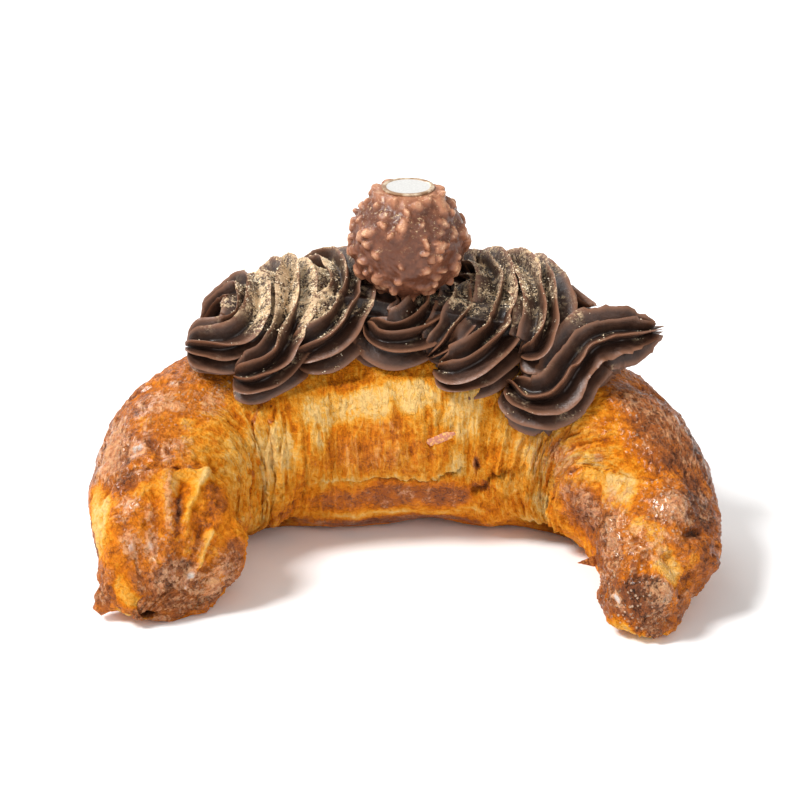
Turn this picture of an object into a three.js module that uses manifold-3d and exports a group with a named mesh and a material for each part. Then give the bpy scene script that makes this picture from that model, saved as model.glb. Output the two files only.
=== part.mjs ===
// A crescent croissant with a border of star-piped chocolate ganache along its back, and a round hazelnut
// praline with a plain paper seal sitting in the middle of the border.
// Millimetres, +Z up, horns towards -Y. The origin is on the flat underside, below the middle of the dough.
import * as THREE from "three";
import { mergeVertices } from "three/addons/utils/BufferGeometryUtils.js";
import Module from "manifold-3d";

const wasm = await Module();
wasm.setup();

const TAU = 2 * Math.PI;
const GAP = 0.3; // clearance left between pieces that touch
const SIMPLIFY = 0.16; // slivers left by joining the strokes are merged within this distance

// Croissant: sections from the left horn's end to the right one's. x and y are the centre line in plan,
// inner and outer the half widths towards the inside and the outside of the crescent, height its thickness.
const SECTIONS = [
  { x: -55, y: -70.8, inner: 12.5, outer: 10.5, height: 15 },
  { x: -55.5, y: -63, inner: 16, outer: 13.8, height: 25 },
  { x: -57, y: -51, inner: 17.5, outer: 15.8, height: 32 },
  { x: -57, y: -34, inner: 20.5, outer: 18, height: 39 },
  { x: -48, y: -16, inner: 23.5, outer: 20, height: 45 },
  { x: -26, y: -5, inner: 26.5, outer: 23, height: 51 },
  { x: 0, y: -2, inner: 27, outer: 24, height: 53 },
  { x: 26, y: -5, inner: 25.5, outer: 23, height: 51 },
  { x: 47, y: -17, inner: 20, outer: 20, height: 45 },
  { x: 58, y: -35, inner: 16.5, outer: 18, height: 39 },
  { x: 60, y: -51, inner: 12.5, outer: 15.5, height: 31 },
  { x: 58, y: -66, inner: 9.2, outer: 9.6, height: 24 },
  { x: 57, y: -78, inner: 9, outer: 7, height: 18 },
];
const WIDEST_AT = 0.46; // height of a section's widest point, as a share of its height
const UNDERCUT = 1.12; // how far the lower half would reach below the floor, which cuts it flat
const LEFT_END = 6; // length over which the blunt left horn closes
const RIGHT_END = 10; // length over which the rounded right horn closes
const BODY_RINGS = 64;
const BODY_SIDES = 28;

// Ganache: strokes of one star nozzle. A row of a route is a place along x, millimetres behind the ridge of
// the crescent, millimetres above the crust, and how thick the stroke is there.
const RIDGES = 9; // points of the star
const ROPE_RADIUS = 9; // to the crest of a ridge
const GROOVE_SHARE = 0.56; // radius at the bottom of a groove, as a share of the crest's
const ROPE_RINGS = 12;
const END_SHARE = 0.5; // thickness at a stroke's very ends, as a share of what its row says
const END_ROUND = 0.1; // share of a stroke's length over which its ends round off

// Most strokes are a swirl: along the front to the right, up over the top and round to the left at the back.
// reach stretches the front rows away from the ridge, rise stretches the heights and lift is added to them.
const SWIRL = [
  [-8, -14.4, 1.8, 0.64],
  [-4.8, -15.8, 2.4, 0.85],
  [0.4, -15.2, 3, 1],
  [4.2, -8.8, 2.8, 1.02],
  [5.4, -2.2, 6, 0.97],
  [3.8, 4.6, 8.6, 0.94],
  [-0.6, 9.8, 8, 0.85],
  [-6.8, 12.6, 6, 0.5],
];
const SWIRLS = [
  { x: -42, reach: 0.38, rise: 0.9, lift: 2.6, size: 0.92 },
  { x: -32, reach: 0.95, rise: 1, lift: 0, size: 1 },
  { x: -18, reach: 0.95, rise: 1, lift: 0, size: 1.02 },
  { x: 0, reach: 1.03, rise: 0.35, lift: 1.6, size: 1 },
  { x: 18.4, reach: 1.3, rise: 0.9, lift: 0, size: 1.04 },
  { x: 30, reach: 0.87, rise: 1, lift: 2.5, size: 0.97 },
];
// One is tucked in under the praline's right side, and one shows behind the praline.
const TUCKED = [
  [7, -18.6, 1.8, 0.5],
  [9.6, -17.4, 2.6, 0.72],
  [13, -12.4, 2.4, 0.85],
  [14.6, -6, 3, 0.85],
  [13, 1, 4, 0.7],
];
const BEHIND = [
  [6, 9, 4, 0.6],
  [12, 11, 6, 0.8],
  [17, 9, 7.5, 0.8],
  [19, 4, 7, 0.6],
];
// A short one points to the right, and the border ends with a tail that stands clear of the crust.
const SPIKED = [
  [29, 5, 6, 0.6],
  [35, 5, 7.5, 0.78],
  [40, 4, 8.5, 0.66],
  [44.5, 4, 10, 0.4],
];
const TAIL = [
  [27.4, -18.6, 1.5, 0.7],
  [31.7, -19.8, 2.5, 0.9],
  [38, -17.8, 3.5, 1],
  [42.6, -12.2, 4.5, 1],
  [46, -8, 7.4, 0.97],
  [51.3, -3, 9.4, 0.9],
  [57, 2, 11.5, 0.78],
  [61.5, 6, 15, 0.55],
];
// A smooth run of ganache along the ridge fills the hollows between the strokes.
const CORE = [
  [-44, 0, 0, 0.45],
  [-30, -4, 2, 0.84],
  [-12, -5, 1.4, 0.9],
  [4, -6, 0, 0.84],
  [16, -7.5, 1.4, 0.9],
  [30, -5, 2.4, 0.9],
  [44, 0, 1, 0.45],
];

// Praline and its paper seal.
const PRALINE_RADIUS = 14.1; // of the shell, without the chopped nuts that stand out of it
const PRALINE_CENTRE = new THREE.Vector3(2, -5, 73);
const SEAT_HEIGHT = 13; // of the flat that the seal lies on, above the praline's centre
const SHOULDER = 0.9; // how far the shell swells out round that flat
const NUT_COUNT = 90;
const SEAL_RADIUS = 6.5;
const SEAL_THICKNESS = 0.6;

const clamp01 = (v) => Math.min(1, Math.max(0, v));
const smooth = (from, to, v) => {
  const t = clamp01((v - from) / (to - from));
  return t * t * (3 - 2 * t);
};
const bell = (v, centre, width) => Math.exp(-(((v - centre) / width) ** 2));
const signedPower = (v, p) => Math.sign(v) * Math.abs(v) ** p;

// A closed solid from rings of points, each ring closed on itself, with a fan to a point at either end.
function skin(rings, startTip, endTip) {
  const sides = rings[0].length;
  const points = [...rings.flat(), startTip, endTip];
  const faces = [];
  const start = rings.length * sides;
  for (let j = 0; j < sides; j++) {
    const k = (j + 1) % sides;
    faces.push(start, k, j);
    for (let i = 0; i + 1 < rings.length; i++) {
      const a = i * sides;
      const b = a + sides;
      faces.push(a + j, a + k, b + j, a + k, b + k, b + j);
    }
    const last = start - sides;
    faces.push(start + 1, last + j, last + k);
  }
  return new wasm.Manifold(
    new wasm.Mesh({
      numProp: 3,
      vertProperties: new Float32Array(points.flatMap((p) => [p.x, p.y, p.z])),
      triVerts: new Uint32Array(faces),
    }),
  );
}

// A closed three.js geometry as a solid, moved to a place.
function solidFrom(geometry, place) {
  const bare = geometry.clone().translate(place.x, place.y, place.z);
  bare.deleteAttribute("normal");
  bare.deleteAttribute("uv");
  const merged = mergeVertices(bare, 1e-4);
  return new wasm.Manifold(
    new wasm.Mesh({
      numProp: 3,
      vertProperties: new Float32Array(merged.attributes.position.array),
      triVerts: new Uint32Array(merged.index.array),
    }),
  );
}

function meshFrom(solid, name, look) {
  const { vertProperties, triVerts, numProp } = solid.getMesh();
  const corners = new Float32Array(triVerts.length * 3);
  triVerts.forEach((v, i) => {
    corners.set(vertProperties.subarray(v * numProp, v * numProp + 3), i * 3);
  });
  const geometry = new THREE.BufferGeometry();
  geometry.setAttribute("position", new THREE.BufferAttribute(corners, 3));
  geometry.computeVertexNormals();
  const mesh = new THREE.Mesh(geometry, new THREE.MeshStandardMaterial(look));
  mesh.name = name;
  return mesh;
}

const largest = (solid) =>
  solid.decompose().reduce((a, b) => (b.volume() > a.volume() ? b : a));

// Catmull-Rom between the sections. t runs from 0 to 1 over the list.
function sectionAt(t) {
  const last = SECTIONS.length - 1;
  const place = clamp01(t) * last;
  const i = Math.min(Math.floor(place), last - 1);
  const f = place - i;
  const [p, q, r, s] = [i - 1, i, i + 1, i + 2].map((k) => SECTIONS[Math.min(last, Math.max(0, k))]);
  const blend = (key) => {
    const before = i === 0 ? 2 * q[key] - r[key] : p[key];
    const after = i === last - 1 ? 2 * r[key] - q[key] : s[key];
    return (
      0.5 *
      (2 * q[key] +
        (r[key] - before) * f +
        (2 * before - 5 * q[key] + 4 * r[key] - after) * f * f +
        (3 * q[key] - before - 3 * r[key] + after) * f ** 3)
    );
  };
  const section = {};
  for (const key of Object.keys(q)) section[key] = blend(key);
  return section;
}

// The centre line's length, and the list place that belongs to a share of that length.
const STEPS = 1200;
const lengths = [0];
for (let i = 1; i <= STEPS; i++) {
  const a = sectionAt((i - 1) / STEPS);
  const b = sectionAt(i / STEPS);
  lengths.push(lengths[i - 1] + Math.hypot(b.x - a.x, b.y - a.y));
}
const LENGTH = lengths[STEPS];
function sectionAlong(share) {
  const wanted = clamp01(share) * LENGTH;
  let i = lengths.findIndex((v) => v >= wanted);
  if (i < 1) i = 1;
  const f = (wanted - lengths[i - 1]) / (lengths[i] - lengths[i - 1]);
  return sectionAt((i - 1 + f) / STEPS);
}

// Direction of the centre line and of the outside of the crescent, in plan.
function directionsAlong(share) {
  const a = sectionAlong(share - 0.004);
  const b = sectionAlong(share + 0.004);
  const along = new THREE.Vector3(b.x - a.x, b.y - a.y, 0).normalize();
  return { along, outward: new THREE.Vector3(-along.y, along.x, 0) };
}

// Relief of the crust in millimetres: place is the share of the length, angle goes from the outside of the
// crescent (0 degrees) over the top (90) to the inside (180) and the underside (270).
function relief(place, angle) {
  const front = smooth(40, 75, angle) * (1 - smooth(215, 250, angle));

  // The wrapped horns end in a raised edge, with the dough drawn in beside it.
  const pastLeft = place - 0.078 - 0.036 * bell(angle, 132, 34);
  const leftWrap = 2 * (1 - smooth(-0.008, 0.01, pastLeft)) * smooth(-0.09, -0.01, pastLeft);
  const leftDip = -1.2 * smooth(-0.004, 0.012, pastLeft) * (1 - smooth(0.02, 0.12, pastLeft));
  const pastRight = place - 0.884 + 0.045 * smooth(90, 170, angle);
  const rightWrap = 1.8 * smooth(-0.01, 0.008, pastRight) * (1 - smooth(0.01, 0.09, pastRight));
  const rightDip = -1.1 * (1 - smooth(-0.012, 0.004, pastRight)) * smooth(-0.1, -0.02, pastRight);

  // The middle band stands out between two drawn-in necks, and its lower edge overlaps the belly below.
  const band = 1.3 * smooth(0.276, 0.292, place) * (1 - smooth(0.6, 0.68, place));
  const neck = -1.1 * bell(place, 0.215, 0.045) - 0.7 * bell(place, 0.7, 0.04);
  const lip = -0.9 * smooth(186, 190, angle) * bell(place, 0.44, 0.17);

  // A bulge and a notch on the outside of the right horn, and the flap at the left horn's outer corner.
  const knuckle = 3.2 * bell(place, 0.928, 0.022) * bell(angle, 12, 26);
  const notch = -1.6 * bell(place, 0.955, 0.014) * bell(angle, 8, 22);
  const wrappedAngle = angle > 180 ? angle - 360 : angle;
  const flap = 3 * bell(place, 0.03, 0.011) * bell(wrappedAngle, -26, 12);

  // Slow unevenness of hand-rolled dough.
  const l = place * LENGTH;
  const a = (angle * Math.PI) / 180;
  const uneven =
    0.55 * Math.sin(l / 8.1 + 2 * a + 0.7) +
    0.45 * Math.sin(l / 5.3 - 3 * a + 2.1) +
    0.35 * Math.sin(l / 12.7 + 5 * a + 4.4) +
    0.3 * Math.sin(l / 3.9 + 4 * a + 1.3);
  const wraps = leftWrap + leftDip + rightWrap + rightDip;
  return front * (wraps + band + neck + lip) + knuckle + notch + flap + uneven;
}

// A point of the crust. grow moves it out of the surface by that many millimetres.
function crustPoint(share, degrees, grow = 0) {
  const section = sectionAlong(share);
  const { outward } = directionsAlong(share);
  const toLeft = share * LENGTH;
  const toRight = LENGTH - toLeft;
  const leftCap = toLeft < LEFT_END ? (1 - (1 - toLeft / LEFT_END) ** 3.2) ** (1 / 3.2) : 1;
  const rightCap = toRight < RIGHT_END ? Math.sqrt(1 - (1 - toRight / RIGHT_END) ** 2) : 1;
  const cap = leftCap * rightCap;
  const a = (degrees * Math.PI) / 180;
  const cosine = Math.cos(a);
  const sine = Math.sin(a);
  const middle = WIDEST_AT * section.height;
  const half = cosine > 0 ? section.outer : section.inner;
  const rise = sine > 0 ? section.height - middle : middle * UNDERCUT;
  let sideways = half * signedPower(cosine, 0.9) * cap;
  let up = rise * signedPower(sine, 0.95) * cap;
  const out = relief(share, degrees) * Math.min(1, cap * 1.4) + grow;
  const size = Math.hypot(sideways, up) || 1;
  sideways += (out * sideways) / size;
  up += (out * up) / size;
  const height = Math.max(middle * Math.sqrt(cap) + up, grow > 0 ? -grow : 0);
  return new THREE.Vector3(section.x + outward.x * sideways, section.y + outward.y * sideways, height);
}

function croissantSolid(grow = 0) {
  const rings = [];
  for (let i = 1; i < BODY_RINGS; i++) {
    // Rings crowd towards the ends, where the horns close.
    const even = i / BODY_RINGS;
    const share = even - (0.35 / TAU) * Math.sin(TAU * even);
    const ring = [];
    for (let j = 0; j < BODY_SIDES; j++) ring.push(crustPoint(share, (360 * j) / BODY_SIDES, grow));
    rings.push(ring);
  }
  const tip = (share, push) => {
    const section = sectionAlong(share);
    const { along } = directionsAlong(share);
    const near = rings[share === 0 ? 0 : rings.length - 1];
    const height = near.reduce((sum, p) => sum + p.z, 0) / near.length;
    return new THREE.Vector3(section.x, section.y, height).addScaledVector(along, push);
  };
  return skin(rings, tip(0, -grow), tip(1, grow));
}

// The line in plan that the border follows, and the height of the crust above a place in plan.
const ridgeY = (x) => -1 - 14 * (x / 47) ** 2;
const plan = Array.from({ length: 241 }, (_, i) => ({ share: i / 240, ...sectionAlong(i / 240) }));
function crustHeight(x, y) {
  const near = plan.reduce((a, b) => (Math.hypot(b.x - x, b.y - y) < Math.hypot(a.x - x, a.y - y) ? b : a));
  const { outward } = directionsAlong(near.share);
  const sideways = (x - near.x) * outward.x + (y - near.y) * outward.y;
  const middle = WIDEST_AT * near.height;
  const half = sideways > 0 ? near.outer : near.inner;
  const across = Math.min(0.98, Math.abs(sideways) / half);
  return middle + (near.height - middle) * (1 - across ** 2.1) ** 0.5;
}

// A point of a stroke's route: x, millimetres behind the ridge, millimetres above the crust.
function onCrust([x, behind, above]) {
  const y = ridgeY(x) + behind;
  return new THREE.Vector3(x, y, crustHeight(x, y) + above);
}

// One stroke of the star nozzle as a closed solid. groove is the radius between the ridges, as a share.
function strokeSolid(rows, turn, groove) {
  const curve = new THREE.CatmullRomCurve3(rows.map(onCrust), false, "centripetal");
  const frames = curve.computeFrenetFrames(ROPE_RINGS, false);
  const rings = [];
  for (let i = 0; i <= ROPE_RINGS; i++) {
    const t = i / ROPE_RINGS;
    const centre = curve.getPointAt(t);
    const place = t * (rows.length - 1);
    const k = Math.min(Math.floor(place), rows.length - 2);
    const thick = THREE.MathUtils.lerp(rows[k][3], rows[k + 1][3], smooth(0, 1, place - k));
    const size = thick * (END_SHARE + (1 - END_SHARE) * smooth(0, END_ROUND, Math.min(t, 1 - t)));
    const ring = [];
    for (let j = 0; j < 2 * RIDGES; j++) {
      const angle = (TAU * j) / (2 * RIDGES) + turn;
      const radius = ROPE_RADIUS * size * (j % 2 ? groove : 1);
      ring.push(
        centre
          .clone()
          .addScaledVector(frames.normals[i], radius * Math.cos(angle))
          .addScaledVector(frames.binormals[i], radius * Math.sin(angle)),
      );
    }
    rings.push(ring);
  }
  return skin(rings, curve.getPointAt(0), curve.getPointAt(1));
}

// The rows of one swirl.
const swirl = ({ x, reach, rise, lift, size }) =>
  SWIRL.map(([along, behind, above, thick]) => [
    x + along,
    behind * (behind < 0 ? reach : 1),
    above * rise + lift,
    thick * size,
  ]);

function ganacheSolid() {
  const routes = [...SWIRLS.map(swirl), TUCKED, BEHIND, SPIKED, TAIL];
  const strokes = routes.map((rows, i) => strokeSolid(rows, 0.1 + 0.37 * i, GROOVE_SHARE));
  return strokes.reduce((whole, stroke) => whole.add(stroke), strokeSolid(CORE, 0, 1));
}

// A repeatable stream of numbers from 0 to 1.
function seeded(seed) {
  let state = seed;
  return () => {
    state = (state * 16807) % 2147483647;
    return state / 2147483647;
  };
}

// The praline's shell with the chopped nuts under it: grow moves the whole surface out.
function pralineSolid(grow = 0) {
  const random = seeded(41);
  const nuts = [];
  for (let i = 0; i < NUT_COUNT; i++) {
    const height = 1 - (2 * (i + 0.5)) / NUT_COUNT;
    const turn = i * 2.39996 + 0.5 * random();
    const ring = Math.sqrt(1 - height * height);
    nuts.push({
      towards: new THREE.Vector3(ring * Math.cos(turn), ring * Math.sin(turn), height),
      width: 0.085 + 0.07 * random(),
      height: 0.6 + 1.1 * random(),
    });
  }
  const ball = new THREE.IcosahedronGeometry(1, 8);
  const position = ball.attributes.position;
  const point = new THREE.Vector3();
  for (let i = 0; i < position.count; i++) {
    point.fromBufferAttribute(position, i).normalize();
    let bump = 0;
    for (const nut of nuts) {
      const apart = point.distanceTo(nut.towards);
      bump = Math.max(bump, nut.height * (1 - smooth(0.35 * nut.width, 1.7 * nut.width, apart)));
    }
    // The nuts stop short of the seal, and the shell swells towards it and is flat under it.
    bump *= 1 - smooth(0.84, 0.9, point.z);
    bump += SHOULDER * smooth(0.72, 0.87, point.z);
    const flat = SEAT_HEIGHT / Math.max(point.z, 0.5);
    const radius = Math.min(PRALINE_RADIUS + bump, flat) + grow;
    position.setXYZ(i, point.x * radius, point.y * radius, point.z * radius);
  }
  return solidFrom(ball, PRALINE_CENTRE);
}

function sealSolid() {
  const half = SEAL_THICKNESS / 2;
  const outline = [
    new THREE.Vector2(0, -half),
    new THREE.Vector2(SEAL_RADIUS - 0.15, -half),
    new THREE.Vector2(SEAL_RADIUS, 0),
    new THREE.Vector2(SEAL_RADIUS - 0.15, half),
    new THREE.Vector2(0, half),
  ];
  const disc = new THREE.LatheGeometry(outline, 36).rotateX(Math.PI / 2);
  const top = PRALINE_CENTRE.z + SEAT_HEIGHT + GAP + half;
  return solidFrom(disc, new THREE.Vector3(PRALINE_CENTRE.x, PRALINE_CENTRE.y, top));
}

const croissant = croissantSolid();
const fitted = ganacheSolid().subtract(croissantSolid(GAP)).subtract(pralineSolid(GAP));
const ganache = largest(fitted).simplify(SIMPLIFY);

const part = new THREE.Group();
part.add(
  meshFrom(croissant, "croissant", { color: 0xc47a2c, roughness: 0.45, metalness: 0 }),
  meshFrom(ganache, "ganache", { color: 0x2c1c16, roughness: 0.4, metalness: 0 }),
  meshFrom(pralineSolid(), "praline", { color: 0x7a4a33, roughness: 0.35, metalness: 0 }),
  meshFrom(sealSolid(), "seal", { color: 0xf4efe2, roughness: 0.5, metalness: 0 }),
);

export default part;
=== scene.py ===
"""A chocolate hazelnut croissant: a flaky crescent, a star-piped ganache border and a round praline on top.

Every shape is worked out in millimetres from the same named sizes as the solids, with finer relief, and
written in metres. share runs from 0 to 1 along the crescent from the left horn's end. angle goes from the
outside of the crescent (0 degrees) over the top (90) to the inside (180) and the underside (270).
"""

import math

import bmesh
import bpy
import numpy as np
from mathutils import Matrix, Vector
from mathutils.kdtree import KDTree


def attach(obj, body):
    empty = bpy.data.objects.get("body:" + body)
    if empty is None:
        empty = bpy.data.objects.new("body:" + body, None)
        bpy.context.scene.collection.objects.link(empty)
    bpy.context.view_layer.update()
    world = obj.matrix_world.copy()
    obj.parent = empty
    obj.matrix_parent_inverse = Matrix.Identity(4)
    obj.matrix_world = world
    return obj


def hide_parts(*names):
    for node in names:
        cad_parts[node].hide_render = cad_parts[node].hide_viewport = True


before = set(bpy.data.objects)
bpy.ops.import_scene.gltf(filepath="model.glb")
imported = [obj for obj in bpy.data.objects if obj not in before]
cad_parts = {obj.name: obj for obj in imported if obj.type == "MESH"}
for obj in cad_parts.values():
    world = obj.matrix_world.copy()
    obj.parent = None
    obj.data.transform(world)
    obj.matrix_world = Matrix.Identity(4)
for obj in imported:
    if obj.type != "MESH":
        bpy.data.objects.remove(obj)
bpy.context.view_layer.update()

MM = 0.001
TAU = 2 * math.pi

# Croissant sections: centre line x and y, half width inside and outside the crescent, height. All in
# millimetres, as is every other length here unless it says otherwise.
SECTIONS = np.array([
    (-55, -70.8, 12.5, 10.5, 15),
    (-55.5, -63, 16, 13.8, 25),
    (-57, -51, 17.5, 15.8, 32),
    (-57, -34, 20.5, 18, 39),
    (-48, -16, 23.5, 20, 45),
    (-26, -5, 26.5, 23, 51),
    (0, -2, 27, 24, 53),
    (26, -5, 25.5, 23, 51),
    (47, -17, 20, 20, 45),
    (58, -35, 16.5, 18, 39),
    (60, -51, 12.5, 15.5, 31),
    (58, -66, 9.2, 9.6, 24),
    (57, -78, 9, 7, 18),
], float)
TABLE_STEPS = 1200
WIDEST_AT = 0.46  # share of a section's height
UNDERCUT = 1.12  # how much the rounding goes on below the widest place, before the flat base
LEFT_END = 6.0  # length over which the left end closes
RIGHT_END = 10.0
LEFT_BLUNTNESS = 3.2
SIDE_ROUNDING = 0.9  # powers of the section's outline: 1 is an ellipse
TOP_ROUNDING = 0.95
LEFT_FOLD = 0.083  # shares of the length at the wraps' edges and at the middle band's start
RIGHT_FOLD = 0.892
BAND_START = 0.284
LIP_ANGLE = 188
STEP_WIDTH = 0.35  # of the wraps' edges, beside 1 for the solid
SINK = 0.45  # how far the crust lies below the solid's skin, so that its relief stays near it
BED_DEPTH = 0.9  # how much lower it lies under the border
RINGS = 520
SIDES = 186
STRAIGHT_RADIUS = 20.0  # of the straightened croissant that its noise is worked out on
FOLD_RADIUS = 16.0  # of the straightened horns that creases are measured on

# Heights and depths of the crust's fine relief in millimetres.
FIBRE_HEIGHT = 0.34
PLEAT_HEIGHT = 1.15
LAYER_HEIGHT = 0.4
WRINKLE_HEIGHT = 0.4
OUTER_WRINKLE_HEIGHT = 0.28
GRAIN_HEIGHT = 0.2
BLISTER_HEIGHT = 0.22
CRACK_DEPTH = 0.8
CRACK_RIM_HEIGHT = 0.3
TEAR_DEPTH = 1.3
PIT_DEPTH = 1.0
HOLLOW_DEPTH = 3.0
BAND_DEPTH = 0.5

# The left end's mouth: rings that close over it, and the place that they close on.
MOUTH_RINGS = 16
MOUTH_X = -63.2
MOUTH_Z = 2.4

# Degrees between two faces from which an edge is drawn sharp.
BORDER_EDGE = 70
SEAL_EDGE = 40

# Ganache: strokes of one star nozzle. Each row of a route is a place along x, millimetres behind the ridge
# of the crescent, millimetres above the crust, and the stroke's size there.
RIDGES = 11
ROPE_RADIUS = 9.0
GROOVE_SHARE = 0.5
RIDGE_SIDES = 12
TWIST = 0.012  # radians for each millimetre of a stroke
CURVE_STEPS = 60  # between two rows of a route
STROKE_STEP = 0.54
CORE_STEP = 1.0
MERGED_WITHIN = 0.004  # vertices this close to each other become one in the union
COLLAPSED_BELOW = 0.002
HOLE_SIDES = 8
STROKES = {
    "first": dict(turn=0.35, finger=2.2, torn=0.3, rows=[
        (-52, 0, 6, 0.72), (-47.5, -3.4, 5.3, 0.8), (-42, -6.2, 4.8, 0.88), (-37.8, -6, 5.6, 0.92),
        (-35.8, -2, 7.6, 0.9), (-37, 4, 8.6, 0.88), (-42, 8.5, 7.4, 0.8), (-48, 9, 5, 0.5)]),
    "curled": dict(turn=0.1, finger=1.2, torn=0.3, rows=[
        (-40.4, -12.6, 1.8, 0.66), (-36.6, -15, 2, 0.82), (-31.4, -14.8, 2.6, 0.95), (-28, -9.5, 3.4, 1),
        (-27, -3, 6.2, 0.98), (-28, 4, 8.6, 0.95), (-32, 9.5, 8.2, 0.85), (-38, 12, 6, 0.5)]),
    "leaning": dict(turn=0.3, finger=2.4, torn=0.3, rows=[
        (-25.4, -14.6, 1.5, 0.66), (-22, -15.2, 2.3, 0.86), (-17, -14, 3.4, 1), (-13.8, -6, 3.4, 1),
        (-13.6, 0, 6.8, 0.97), (-16, 6.5, 8.8, 0.95), (-21, 11.5, 8, 0.85), (-27, 14, 6, 0.5)]),
    "middle": dict(turn=0.0, finger=1.6, torn=0.3, rows=[
        (-8, -13.2, 4, 0.62), (-5.2, -16, 3, 0.86), (0, -16, 2.6, 1), (4.6, -10, 1, 1),
        (5.4, -4, 2, 0.9), (1.7, 4, 2.2, 0.8), (-3, 10.5, 2.5, 0.7), (-9, 13, 2, 0.5)]),
    "tucked": dict(turn=0.2, finger=1.2, torn=0.2, rows=[
        (7, -18.6, 1.8, 0.5), (9.6, -17.4, 2.6, 0.72), (13, -12.4, 2.4, 0.85), (14.6, -6, 3, 0.85),
        (13, 1, 4, 0.7)]),
    "long": dict(turn=0.25, finger=2.6, torn=0.25, rows=[
        (9.4, -20.4, 1.5, 0.62), (13.2, -20.8, 2.3, 0.86), (18.8, -18.6, 3.6, 1.02), (23.4, -9, 1.6, 1.05),
        (25, -2, 5.7, 0.97), (23.4, 5, 8.4, 0.93), (18.5, 10, 7.5, 0.85), (13, 13, 5.5, 0.5)]),
    "upright": dict(turn=0.1, finger=1.6, torn=0.3, rows=[
        (29.6, -14, 4, 0.62), (33, -13, 4.6, 0.86), (35, -9, 7, 0.95), (35, -3, 10.2, 0.95),
        (33, 4, 10.6, 0.95), (28.6, 9.5, 9.5, 0.85), (23.5, 13, 7.5, 0.5)]),
    "spiked": dict(turn=0.4, finger=4.5, torn=0.5, rows=[
        (29, 5, 6, 0.6), (35, 5, 7.5, 0.78), (40, 4, 8.5, 0.66), (44.5, 4, 10, 0.4)]),
    "last": dict(turn=0.15, finger=4.0, torn=1.0, rows=[
        (27.4, -18.6, 1.5, 0.7), (31.7, -19.8, 2.5, 0.9), (38, -17.8, 3.5, 1), (42.6, -12.2, 4.5, 1),
        (46, -8, 7.4, 0.97), (51.3, -3, 9.4, 0.9), (57, 2, 11.5, 0.78), (61.5, 6, 15, 0.55)]),
    "behind": dict(turn=0.3, finger=1.6, torn=0.3, rows=[
        (6, 9, 4, 0.6), (12, 11, 6, 0.8), (17, 9, 7.5, 0.8), (19, 4, 7, 0.6)]),
    "core": dict(turn=0.8, finger=0.5, torn=0.0, crested=0.12, rows=[
        (-44, 0, 0, 0.8), (-30, -4, 2, 1.5), (-12, -5, 1.4, 1.6), (4, -6, 0, 1.5), (16, -7.5, 1.4, 1.6),
        (30, -5, 2.4, 1.6), (44, 0, 1, 0.8)]),
}

# Praline and seal.
PRALINE_RADIUS = 14.1
PRALINE_CENTRE = np.array([2.0, -5.0, 73.0])
SEAT_DEPTH = 1.1  # from the ball's top to the flat seat
GAP = 0.3
SEAT_HEIGHT = PRALINE_RADIUS - SEAT_DEPTH + GAP
SHELL_SUBDIVISIONS = 7
NUTS = 150
GOLDEN_ANGLE = 2.39996
NUT_REACH = (0.06, 0.135)  # half length beside the ball's radius, smallest and largest
NUT_WIDTH = (0.5, 0.85)  # beside its length
NUT_HEIGHT = (0.35, 1.25)
SEAL_RADIUS = 6.5
SEAL_THICKNESS = 0.6
SEAL_SIDES = 144

# Gold dust: number of grains, and their smallest and largest half size in millimetres. Each cloud: its place
# along x and half width, how thick it is, and the heights between which it thickens.
GRAINS = 9000
GRAIN_SIZES = (0.09, 0.2)
DUST_CLOUDS = [(-27, 12, 1.2, 52, 59), (24, 16, 0.6, 52, 62)]

# Camera and lights. Each light: where it comes from, its strength and its spread in degrees.
ELEVATION = 24
DISTANCE = 600
TARGET = (0, -6, 30)
LENS = 106.3
SENSOR = 36
FARTHEST = 20  # in metres
FLOOR_FRONT = 4000
FLOOR_BACK = 6000
LIGHTS = {
    "key": ((-0.66, -0.2, 0.9), 3.2, 18),
    "fill": ((0.35, -0.85, 0.6), 0.6, 40),
    "sheen": ((-0.4, 0.7, 0.55), 1.0, 34),
}
SKY_COLOUR = (1, 0.985, 0.965, 1)
SKY_STRENGTH = 0.53


# Numbers.

def smooth(low, high, v):
    t = np.clip((v - low) / (high - low), 0, 1)
    return t * t * (3 - 2 * t)


def bell(v, centre, width):
    return np.exp(-(((v - centre) / width) ** 2))


def mix(a, b, t):
    return a + (b - a) * t


def between(start, full, fading, end, v):
    """0 up to start, 1 from full to fading, and 0 again from end."""
    return smooth(start, full, v) * (1 - smooth(fading, end, v))


def signed(angle):
    """Degrees from -180 to 180."""
    return np.where(angle > 180, angle - 360, angle)


def lattice(cell, seed):
    """A repeatable random number from 0 to 1 for every cell of a cubic lattice."""
    h = (cell[..., 0] * 374761393 + cell[..., 1] * 668265263 + cell[..., 2] * 2246822519 + seed * 3266489917)
    h = h & 0xFFFFFFFF
    h = ((h ^ (h >> 13)) * 1274126177) & 0xFFFFFFFF
    h = ((h ^ (h >> 16)) * 2654435761) & 0xFFFFFFFF
    return ((h ^ (h >> 15)) & 0xFFFFFF) / float(0xFFFFFF)


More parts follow.
